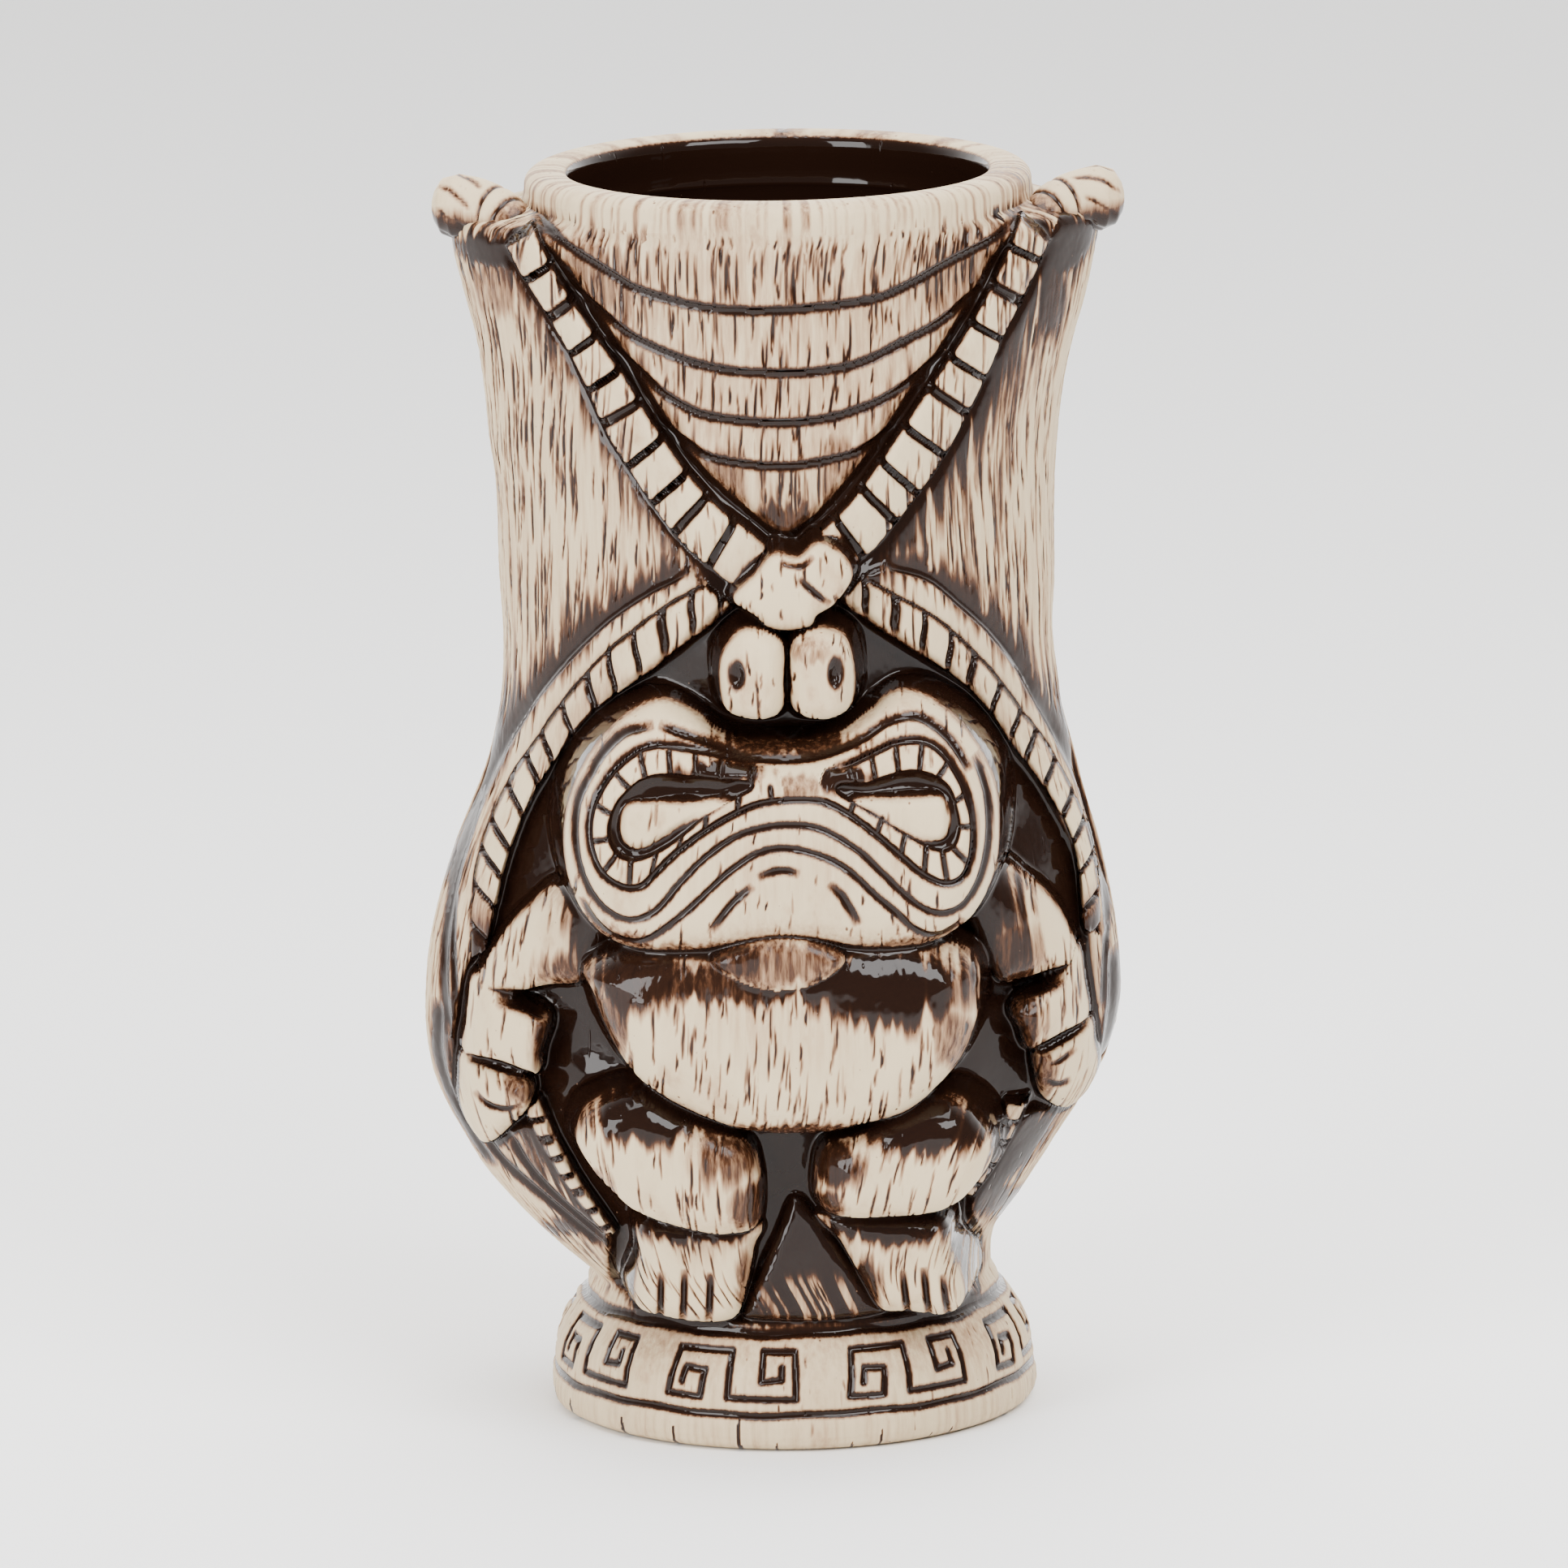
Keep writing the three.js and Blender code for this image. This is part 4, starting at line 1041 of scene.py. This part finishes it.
def carve_grain():
    """Seeded strokes all over, longer on the cup's walls, finer on the figure."""
    DRY[:] = smoothstep(0.95, 0.5, blur(glaze, 2.0, 2.0))
    figure = np.isin(label, id_of(*FIGURE))
    for _ in range(GRAIN_STROKES):
        column = rng.uniform(2, COLUMNS - 3)
        height = rng.uniform(1.0, 175.0)
        in_front = column < FRONT_COLUMNS
        row = min(int(np.searchsorted(LEVELS, height)), ROWS - 6)
        c = int(column)
        kind = label[row, c]
        length = 3.0 + 10.5 * rng.random() ** 2
        width = rng.uniform(0.13, 0.24)
        cut = rng.uniform(0.18, 0.38)
        dark = rng.uniform(0.45, 1.0)
        lean = rng.normal(0, 0.03)
        step = FRONT_STEP if in_front else BACK_STEP
        if height < FOOT_TOP:
            if rng.random() < 0.72:
                continue
            length *= 0.35
            cut *= 0.7
            dark *= 0.6
        elif kind == 0 and in_front:
            x = BARE_X[row, c]
            if abs(x) > 20 and height > 105:
                lean += 0.10 * np.sign(-x) * (0.6 if x > 0 else 1.0)
                length *= 1.6
        elif figure[row, c]:
            length = min(length, 6.5) * (0.5 if names[kind] in SHORT_GRAIN else 1.0)
            cut *= 0.7
            width *= 0.85
            if names[kind] == "face" and rng.random() < 0.6:
                continue
        elif kind == 0:
            length *= 1.5
        else:
            length = min(length, 4.0)
            dark *= 0.7
            if rng.random() < 0.5:
                continue
        gouge(row, column, max(6, int(length / ROW_STEP)), max(0.6, width / step), cut, dark, lean)


def wrap_stains():
    """Carry the stains at the sides on round to the back, fading out."""
    back_columns = COLUMNS - FRONT_COLUMNS
    away = np.arange(1, back_columns + 1) * BACK_STEP
    fade = smoothstep(26.0, 0.0, away)[None, :]
    step = np.minimum((away / FRONT_STEP).astype(int), FRONT_COLUMNS - 1)
    from_right = glaze[:, FRONT_COLUMNS - 1 - step] * fade
    from_left = (glaze[:, step] * fade)[:, ::-1]
    wrapped = np.maximum(from_right, from_left) + 0.05 + 0.03 * STREAKS[:, FRONT_COLUMNS:]
    glaze[:, FRONT_COLUMNS:] = np.maximum(glaze[:, FRONT_COLUMNS:], wrapped)


def carve_rim_strokes():
    """Long strokes that hang from just under the lip."""
    for _ in range(RIM_STROKES):
        column = rng.uniform(2, COLUMNS - 3)
        step = FRONT_STEP if column < FRONT_COLUMNS else BACK_STEP
        row = int(np.searchsorted(LEVELS, rng.uniform(163.0, 170.5)))
        length = rng.uniform(5.0, 11.0)
        width = max(0.6, rng.uniform(0.16, 0.3) / step)
        cut, dark = rng.uniform(0.2, 0.4), rng.uniform(0.6, 1.0)
        gouge(row, column, int(length / ROW_STEP), width, cut, dark, rng.normal(0, 0.02))


leave_glaze()
wrap_stains()
carve_grain()
carve_rim_strokes()


# --- The whole skin: outside, lip, inside and underside ---

def grid_points(x, y, z):
    return np.stack([x, y, z], axis=-1)


def skin_normals(points):
    """Outward normals of a grid whose rows go up and whose columns go round."""
    round_step = np.roll(points, -1, axis=1) - np.roll(points, 1, axis=1)
    up_step = np.gradient(points, axis=0)
    n = np.cross(round_step, up_step)
    n /= np.maximum(np.linalg.norm(n, axis=2, keepdims=True), 1e-9)
    return n


# The front relief moves points towards the viewer only; behind, the bare form stands as it is.
ahead = smoothstep(0.0, 0.12, np.cos(ANGLES))[None, :]
relief = np.where(FACING, depth - BARE_DEPTH, 0.0) * ahead
surface = grid_points(BARE_X, BARE_Y - relief, Z)
tooth = blur(rng.normal(0, 1, (ROWS, COLUMNS)), 1.2, 1.2)
waver = blur(rng.normal(0, 1, (ROWS, COLUMNS)), 14, 9)
texture = 0.018 * tooth / tooth.std() + 0.07 * waver / waver.std()
cover = np.clip(glaze, 0, 1)
offset = texture * (1 - 0.7 * cover) * smoothstep(0.0, 2.0, LEVELS)[:, None]
surface += skin_normals(surface) * (carve * (1 - 0.25 * cover) + offset)[..., None]
surface[..., 2] = np.maximum(surface[..., 2], 0.0)

# The bed is the plain cup under the added features, always a little lower than their surface.
bed = grid_points(BARE_X, np.where(FACING, BARE_Y + 0.6 - np.minimum(relief, 0), BARE_Y), Z)
bed[..., 1] = np.where(FACING, np.maximum(bed[..., 1], surface[..., 1] + 0.5), bed[..., 1])

# Radius and height of rings, from the axis out across the underside, over the lip, and on the floor.
UNDER = [
    (2.0, RECESS_DEPTH), (10.0, RECESS_DEPTH), (20.0, RECESS_DEPTH), (27.0, RECESS_DEPTH), (28.4, 0.8),
    (RECESS_RADIUS, 0.5), (29.5, 0.15), (30.2, 0.0), (31.5, 0.0), (32.6, 0.0),
]
RECESS_ROWS = 6  # rings of the underside that belong to the cup; the rest are the foot's
LIP = [
    (36.15, 177.2), (36.1, 178.2), (35.8, 179.0), (35.0, 179.7), (33.8, HEIGHT), (31.8, HEIGHT),
    (30.7, 179.8), (30.1, 179.3), (29.7, 178.4), (LIP_INNER, 176.8),
]
CAVITY_FLOOR = [(14.0, 7.4), (9.0, 6.6), (4.0, 6.2), (1.5, CAVITY_BOTTOM)]
# Height and radius where the cavity rounds in to its floor, and the heights of the cavity's rings.
CAVITY_FOOT = [(9, 17.0), (11, 20.0), (14, 21.6), (18, 23.0), (22, 24.0)]
INNER_LEVELS = np.concatenate([
    [175.0, 173.4, 172.9, 172.4, 171.9], np.linspace(170, 22, 44), [18, 14, 11, 9],
])


def cavity_rings():
    """The inside of the cup: it follows the bare cup at one wall's thickness."""
    heights = INNER_LEVELS
    sections = [v[:, None] for v in section_values(np.maximum(heights, 20))]
    left, right, core, front, _, power = sections
    side, fore = np.sin(ANGLES)[None, :], np.cos(ANGLES)[None, :]
    half, shift = (left + right) / 2, (right - left) / 2
    easing = smoothstep(172, 150, heights)[:, None]
    ledge = 0.35 * np.exp(-(((heights - 172.7) / 0.55) ** 2))[:, None]
    floor_z, floor_r = np.array(CAVITY_FOOT).T
    foot = np.interp(heights, floor_z, floor_r)[:, None]
    in_foot = heights[:, None] < 23
    reach = np.minimum(core - WALL, INNER_LIMIT) + (half - core) * 0.8 * np.abs(side) ** power
    reach = np.where(in_foot, foot, LIP_INNER + (reach - LIP_INNER) * easing) - ledge
    fore_reach = LIP_INNER + (np.minimum(front - FRONT_WALL, INNER_LIMIT) - LIP_INNER) * easing
    fore_reach = np.where(in_foot, foot, fore_reach) - ledge
    x = shift * easing * (heights[:, None] > 23) + side * reach
    return grid_points(x, -fore * fore_reach, np.repeat(heights[:, None], COLUMNS, axis=1))


def ring(radius, height):
    return grid_points(radius * np.sin(ANGLES), -radius * np.cos(ANGLES), np.full(COLUMNS, height))


def rings(profile):
    return np.stack([ring(radius, height) for radius, height in profile])


lip_line = smooth_line(LIP, parts=4)
under = rings(UNDER)
inside = np.concatenate([cavity_rings(), rings(CAVITY_FLOOR)])
skin = np.concatenate([under, surface, rings(lip_line), inside])
bed_skin = np.concatenate([under, bed, rings(lip_line), inside])

# The lip is wiped clean on top, and the inside is glazed all over.
lip_glaze = smoothstep(30.5, 29.9, lip_line[:, 0])[:, None] * np.ones((1, COLUMNS))
lip_glaze = np.maximum(lip_glaze, 0.1 + 0.05 * STREAKS[-1:])
bare, flooded = np.zeros((len(under), COLUMNS)), np.ones((len(inside), COLUMNS))
skin_glaze = np.concatenate([bare, cover, lip_glaze, flooded])
skin_label = np.zeros(skin_glaze.shape, int)
skin_label[len(under):len(under) + ROWS] = label

# The foot ring is every row of the foot that no feature covers.
foot_id = new_label("foot_ring")
foot = slice(RECESS_ROWS, len(under) + int(np.searchsorted(LEVELS, FOOT_TOP - 0.6)))
skin_label[foot] = np.where(skin_label[foot] == 0, foot_id, skin_label[foot])
bed_skin[foot] = skin[foot] - 1.6 * skin_normals(skin)[foot]
SKIN_ROWS = len(skin)


# --- Clay and glaze ---

CREAM = (0.61, 0.485, 0.30, 1.0)
DUSTY = (0.44, 0.305, 0.18, 1.0)
TAN = (0.27, 0.155, 0.085, 1.0)
BROWN = (0.082, 0.034, 0.016, 1.0)
UMBER = (0.022, 0.0085, 0.0042, 1.0)
DARK = (0.011, 0.0045, 0.0026, 1.0)
IRON = (0.20, 0.12, 0.08, 1.0)
# Colour by the amount of glaze.
GLAZE_COLOURS = [(0.0, CREAM), (0.18, DUSTY), (0.38, TAN), (0.58, BROWN), (0.76, UMBER), (1.0, DARK)]
GLAZE_ROUGHNESS = 0.055


class Nodes:
    """Short calls for building a shader tree."""

    def __init__(self, tree):
        self.tree = tree

    def add(self, kind, **settings):
        node = self.tree.nodes.new(kind)
        for key, value in settings.items():
            if key in node.inputs:
                node.inputs[key].default_value = value
            else:
                setattr(node, key, value)
        return node

    def link(self, source, target):
        self.tree.links.new(source, target)

    def math(self, operation, a, b=None, c=None):
        node = self.add("ShaderNodeMath", operation=operation)
        for socket, value in zip(node.inputs, (a, b, c)):
            if isinstance(value, (int, float)):
                socket.default_value = value
            elif value is not None:
                self.link(value, socket)
        return node.outputs[0]

    def times(self, a, b):
        return self.math("MULTIPLY", a, b)

    def remap(self, value, low, high, to_low=0.0, to_high=1.0):
        """A smooth step from to_low to to_high."""
        node = self.add("ShaderNodeMapRange", interpolation_type="SMOOTHSTEP")
        self.link(value, node.inputs["Value"])
        limits = {"From Min": low, "From Max": high, "To Min": to_low, "To Max": to_high}
        for key, number in limits.items():
            node.inputs[key].default_value = number
        return node.outputs[0]

    def stretched(self, vector, across, along):
        """Coordinates in units of across (x and y) and along (z), both in mm."""
        node = self.add("ShaderNodeVectorMath", operation="MULTIPLY")
        self.link(vector, node.inputs[0])
        node.inputs[1].default_value = (1000 / across, 1000 / across, 1000 / along)
        return node.outputs[0]

    def noise(self, vector, detail=3.0, roughness=0.55):
        node = self.add("ShaderNodeTexNoise", Scale=1.0, Detail=detail, Roughness=roughness)
        self.link(vector, node.inputs["Vector"])
        return node.outputs["Fac"]

    def cells(self, vector):
        """The distance from each cell's own point, and the cell's random colour, split up."""
        node = self.add("ShaderNodeTexVoronoi", feature="F1", Scale=1.0)
        self.link(vector, node.inputs["Vector"])
        pick = self.add("ShaderNodeSeparateColor")
        self.link(node.outputs["Color"], pick.inputs["Color"])
        return node.outputs["Distance"], pick.outputs

    def mix(self, kind, factor, a, b):
        """From a linked value to a fixed one."""
        node = self.add("ShaderNodeMix", data_type=kind)
        self.link(factor, node.inputs["Factor"])
        self.link(a, node.inputs["A"])
        node.inputs["B"].default_value = b
        return node.outputs["Result"]

    def ramp(self, value, stops):
        node = self.add("ShaderNodeValToRGB")
        self.link(value, node.inputs["Fac"])
        elements = node.color_ramp.elements
        while len(elements) < len(stops):
            elements.new(0.5)
        for element, (place, colour) in zip(elements, stops):
            element.position = place
            element.color = colour
        return node.outputs["Color"]


def glaze_amount(n, place, streaks):
    """How much glaze is on the clay: what the skin holds, dragged along the grain, and scratches."""
    held = n.add("ShaderNodeAttribute", attribute_name="glaze").outputs["Fac"]
    # Wiping drags the glaze's edges out along the grain.
    drag = n.noise(n.stretched(place, 0.75, 8.5), detail=4.0, roughness=0.6)
    middle = n.times(n.times(held, n.math("SUBTRACT", 1.0, held)), 4.0)
    shift = n.times(n.math("SUBTRACT", drag, 0.5), 1.15)
    dragged = n.math("ADD", held, n.times(shift, middle))
    # Fine scratches hold a little glaze: long thin cells, of which about one in ten is filled.
    distance, pick = n.cells(n.stretched(place, 0.75, 13.0))
    thin = n.remap(distance, 0.16, 0.34, 1.0, 0.0)
    chosen = n.remap(pick["Red"], 0.86, 0.94)
    patches = n.remap(n.noise(n.stretched(place, 11.0, 16.0), detail=2.0), 0.36, 0.62)
    scratch = n.times(n.times(thin, chosen), n.times(patches, 0.62 * streaks))
    # A thin brown film, uneven from wiping, over the clay.
    film = n.remap(n.noise(n.stretched(place, 9.0, 20.0), detail=5.0, roughness=0.62), 0.46, 0.80)
    smudge = n.remap(n.noise(n.stretched(place, 2.4, 3.6), detail=4.0), 0.40, 0.75)
    film = n.times(n.math("MULTIPLY_ADD", smudge, 0.7, 0.3), n.times(film, 0.34))
    return n.math("MAXIMUM", n.math("MAXIMUM", dragged, scratch), film), scratch


def iron_specks(n, place, colour):
    """Small dark specks of iron in the clay."""
    distance, pick = n.cells(n.stretched(place, 2.2, 2.2))
    speck = n.times(n.remap(distance, 0.035, 0.07, 1.0, 0.0), n.remap(pick["Green"], 0.6, 0.7))
    return n.mix("RGBA", n.times(speck, 0.6), colour, IRON)


def wiped_glaze_material(name, streaks=1.0):
    """Cream bisque clay with brown gloss glaze that a wipe has left in the cuts and recesses."""
    material = bpy.data.materials.new(name)
    material.use_nodes = True
    n = Nodes(material.node_tree)
    shader = material.node_tree.nodes["Principled BSDF"]
    place = n.add("ShaderNodeTexCoord").outputs["Object"]
    amount, scratch = glaze_amount(n, place, streaks)
    n.link(iron_specks(n, place, n.ramp(amount, GLAZE_COLOURS)), shader.inputs["Base Color"])
    sheen = n.noise(n.stretched(place, 1.6, 1.6), detail=3.0)
    wet = n.remap(amount, 0.30, 0.86)
    rough = n.mix("FLOAT", wet, n.math("MULTIPLY_ADD", sheen, 0.14, 0.46), GLAZE_ROUGHNESS)
    n.link(rough, shader.inputs["Roughness"])
    shader.inputs["IOR"].default_value = 1.52
    shader.inputs["Specular IOR Level"].default_value = 0.2
    # Bump: fine clay tooth on the dry parts, scratches cut in, pooled glaze nearly smooth.
    tooth = n.noise(n.stretched(place, 0.35, 0.5), detail=2.0)
    rise = n.times(n.times(tooth, n.math("SUBTRACT", 1.0, wet)), 0.35)
    rise = n.math("SUBTRACT", rise, n.times(scratch, 1.2))
    rise = n.math("ADD", rise, n.times(n.noise(n.stretched(place, 3.0, 4.0), detail=1.0), 0.5))
    bump = n.add("ShaderNodeBump", Strength=0.5, Distance=0.00022)
    n.link(rise, bump.inputs["Height"])
    n.link(bump.outputs["Normal"], shader.inputs["Normal"])
    return material


CLAY = wiped_glaze_material("wiped_clay")
STAINED = wiped_glaze_material("stained_clay", streaks=0.5)


# --- Cutting the skin into its features ---

def grid_quads(rows, columns):
    """Corner indices of every quad of a grid that closes round, wound to face outwards."""
    index = np.arange(rows * columns).reshape(rows, columns)
    a, b = index[:-1], np.roll(index[:-1], -1, axis=1)
    c, d = np.roll(index[1:], -1, axis=1), index[1:]
    return np.stack([a, b, c, d], axis=-1).reshape(-1, 4)


QUADS = grid_quads(SKIN_ROWS, COLUMNS)
SKIN_POINTS = skin.reshape(-1, 3)
BED_POINTS = bed_skin.reshape(-1, 3)
SKIN_NORMALS = skin_normals(skin).reshape(-1, 3)
GLAZE_VALUES = skin_glaze.reshape(-1)
OWNER = skin_label.reshape(-1)[QUADS].max(axis=1)


def write_mesh(node, points, normals, values, faces):
    """A mesh in metres with its own normals and glaze amounts; faces is a list of index arrays."""
    name = node + "_form" if node != "cup" else "cup_body"
    mesh = bpy.data.meshes.new(name)
    mesh.vertices.add(len(points))
    mesh.vertices.foreach_set("co", (points * MM).astype(np.float32).ravel())
    sizes = np.concatenate([np.full(len(f), f.shape[1]) for f in faces])
    corners = np.concatenate([f.ravel() for f in faces])
    mesh.loops.add(len(corners))
    mesh.loops.foreach_set("vertex_index", corners.astype(np.int32))
    mesh.polygons.add(len(sizes))
    starts = np.concatenate([[0], np.cumsum(sizes)[:-1]])
    mesh.polygons.foreach_set("loop_start", starts.astype(np.int32))
    mesh.polygons.foreach_set("use_smooth", np.ones(len(sizes), bool))
    mesh.update(calc_edges=True)
    attribute = mesh.attributes.new("glaze", "FLOAT", "POINT")
    attribute.data.foreach_set("value", values.astype(np.float32))
    mesh.validate()
    if normals is not None:
        mesh.normals_split_custom_set(normals[corners].astype(np.float32))
    stained = any(word in node for word in ("rope", "band", "horn"))
    material, slot = (STAINED, "stained_clay") if stained else (CLAY, "wiped_clay")
    mesh.materials.append(material)
    piece = bpy.data.objects.new(name, mesh)
    bpy.context.scene.collection.objects.link(piece)
    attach(piece, "root")
    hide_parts(node)


def feature_piece(number, node):
    """One feature: its own part of the skin, closed behind by a face just above the cup's bed."""
    top = QUADS[OWNER == number]
    inner = np.ones(len(SKIN_POINTS), bool)
    inner[QUADS[OWNER != number].ravel()] = False
    used = np.unique(top)
    numbering = np.full(len(SKIN_POINTS), -1)
    numbering[used] = np.arange(len(used))
    buried = used[inner[used]]
    behind = numbering.copy()
    behind[buried] = len(used) + np.arange(len(buried))
    back_points = BED_POINTS[buried] + 0.25 * SKIN_NORMALS[buried]
    points = np.concatenate([SKIN_POINTS[used], back_points])
    normals = np.concatenate([SKIN_NORMALS[used], -SKIN_NORMALS[buried]])
    values = np.concatenate([GLAZE_VALUES[used], np.ones(len(buried))])
    doubled = (behind[top] != numbering[top]).any(axis=1)
    write_mesh(node, points, normals, values, [numbering[top], behind[top][:, ::-1][doubled]])


def cup_piece():
    """The cup: the skin where no feature covers it, the bed elsewhere, closed by its two poles."""
    exposed = np.zeros(len(SKIN_POINTS), bool)
    exposed[QUADS[OWNER == 0].ravel()] = True
    points = np.where(exposed[:, None], SKIN_POINTS, BED_POINTS)
    points = np.concatenate([points, [[0, 0, RECESS_DEPTH], [0, 0, CAVITY_BOTTOM]]])
    normals = np.concatenate([SKIN_NORMALS, [[0, 0, -1], [0, 0, 1]]])
    values = np.concatenate([GLAZE_VALUES, [0.0, 1.0]])
    first = np.arange(COLUMNS)
    following = np.roll(first, -1)
    last = (SKIN_ROWS - 1) * COLUMNS
    bottom_pole = np.full(COLUMNS, len(SKIN_POINTS))
    bottom_fan = np.stack([bottom_pole, following, first], axis=1)
    floor_fan = np.stack([last + first, last + following, bottom_pole + 1], axis=1)
    write_mesh("cup", points, normals, values, [QUADS, bottom_fan, floor_fan])


cup_piece()
for number, node in enumerate(names):
    if number and (OWNER == number).any():
        feature_piece(number, node)


# --- Horns ---

# The right horn's middle line as (x, z, y), its radius by share of its length, and its bindings.
HORN_ROUTE = [
    (33.5, 168.5, -13.5), (36.2, 171.6, -9.5), (39.2, 173.9, -6.0), (42.4, 174.9, -3.4),
    (45.6, 175.0, -2.0), (49.2, 175.0, -1.2),
]
HORN_RADII = [
    (0, 0.6), (0.12, 3.0), (0.35, 3.8), (0.6, 4.2), (0.8, 4.7), (0.92, 4.0), (0.98, 2.2), (1.0, 0.3),
]
HORN_BINDINGS = (0.2, 0.33, 0.46)


def horn_piece(side, node):
    """A rope end that stands out over the fin: a fat rounded roll, bound across, with bent strands."""
    route = smooth_line(HORN_ROUTE, parts=14)
    radius_at = np.interp(np.linspace(0, 1, len(route)), *np.array(HORN_RADII).T)
    around = np.linspace(0, 2 * math.pi, 72, endpoint=False)
    centre = np.stack([route[:, 0] * side, route[:, 2], route[:, 1]], axis=1)
    direction = np.gradient(centre, axis=0)
    direction /= np.linalg.norm(direction, axis=1, keepdims=True)
    across = np.cross(direction, np.array([0.0, 0.0, 1.0]))
    across /= np.linalg.norm(across, axis=1, keepdims=True)
    lift = np.cross(across, direction)
    share = np.linspace(0, 1, len(route))[:, None]
    cuts = np.zeros((len(route), len(around)))
    for place in HORN_BINDINGS:
        away = share - place - 0.03 * np.sin(around)[None, :]
        cuts = np.maximum(cuts, np.exp(-((away / 0.014) ** 2)))
    strands = np.exp(-((np.mod(around[None, :] + 2.0 * share, 0.9) - 0.45) / 0.1) ** 2)
    strands = strands * smoothstep(0.52, 0.6, share) * smoothstep(0.98, 0.85, share)
    radius = radius_at[:, None] * (1 - 0.12 * cuts - 0.05 * strands)
    offset = np.cos(around)[None, :, None] * across[:, None, :]
    offset = offset + np.sin(around)[None, :, None] * lift[:, None, :]
    points = centre[:, None, :] + radius[..., None] * offset
    rows, columns = points.shape[:2]
    low = smoothstep(0.25, -0.6, offset[..., 2])
    held = np.maximum(np.maximum(cuts, 0.75 * strands), 0.95 * low)
    values = np.clip(held + 0.8 * smoothstep(0.42, 0.2, share), 0, 1)
    first = np.arange(columns)
    last = first + (rows - 1) * columns
    pole = np.full(columns, rows * columns)
    start_fan = np.stack([pole, np.roll(first, -1), first], axis=1)
    end_fan = np.stack([last, np.roll(last, -1), pole + 1], axis=1)
    faces = [grid_quads(rows, columns), start_fan, end_fan]
    if side == RIGHT:
        faces = [f[:, ::-1] for f in faces]
    points = np.concatenate([points.reshape(-1, 3), centre[:1], centre[-1:]])
    write_mesh(node, points, None, np.concatenate([values.ravel(), [0.5, 0.1]]), faces)


horn_piece(LEFT, "horn_left")
horn_piece(RIGHT, "horn_right")
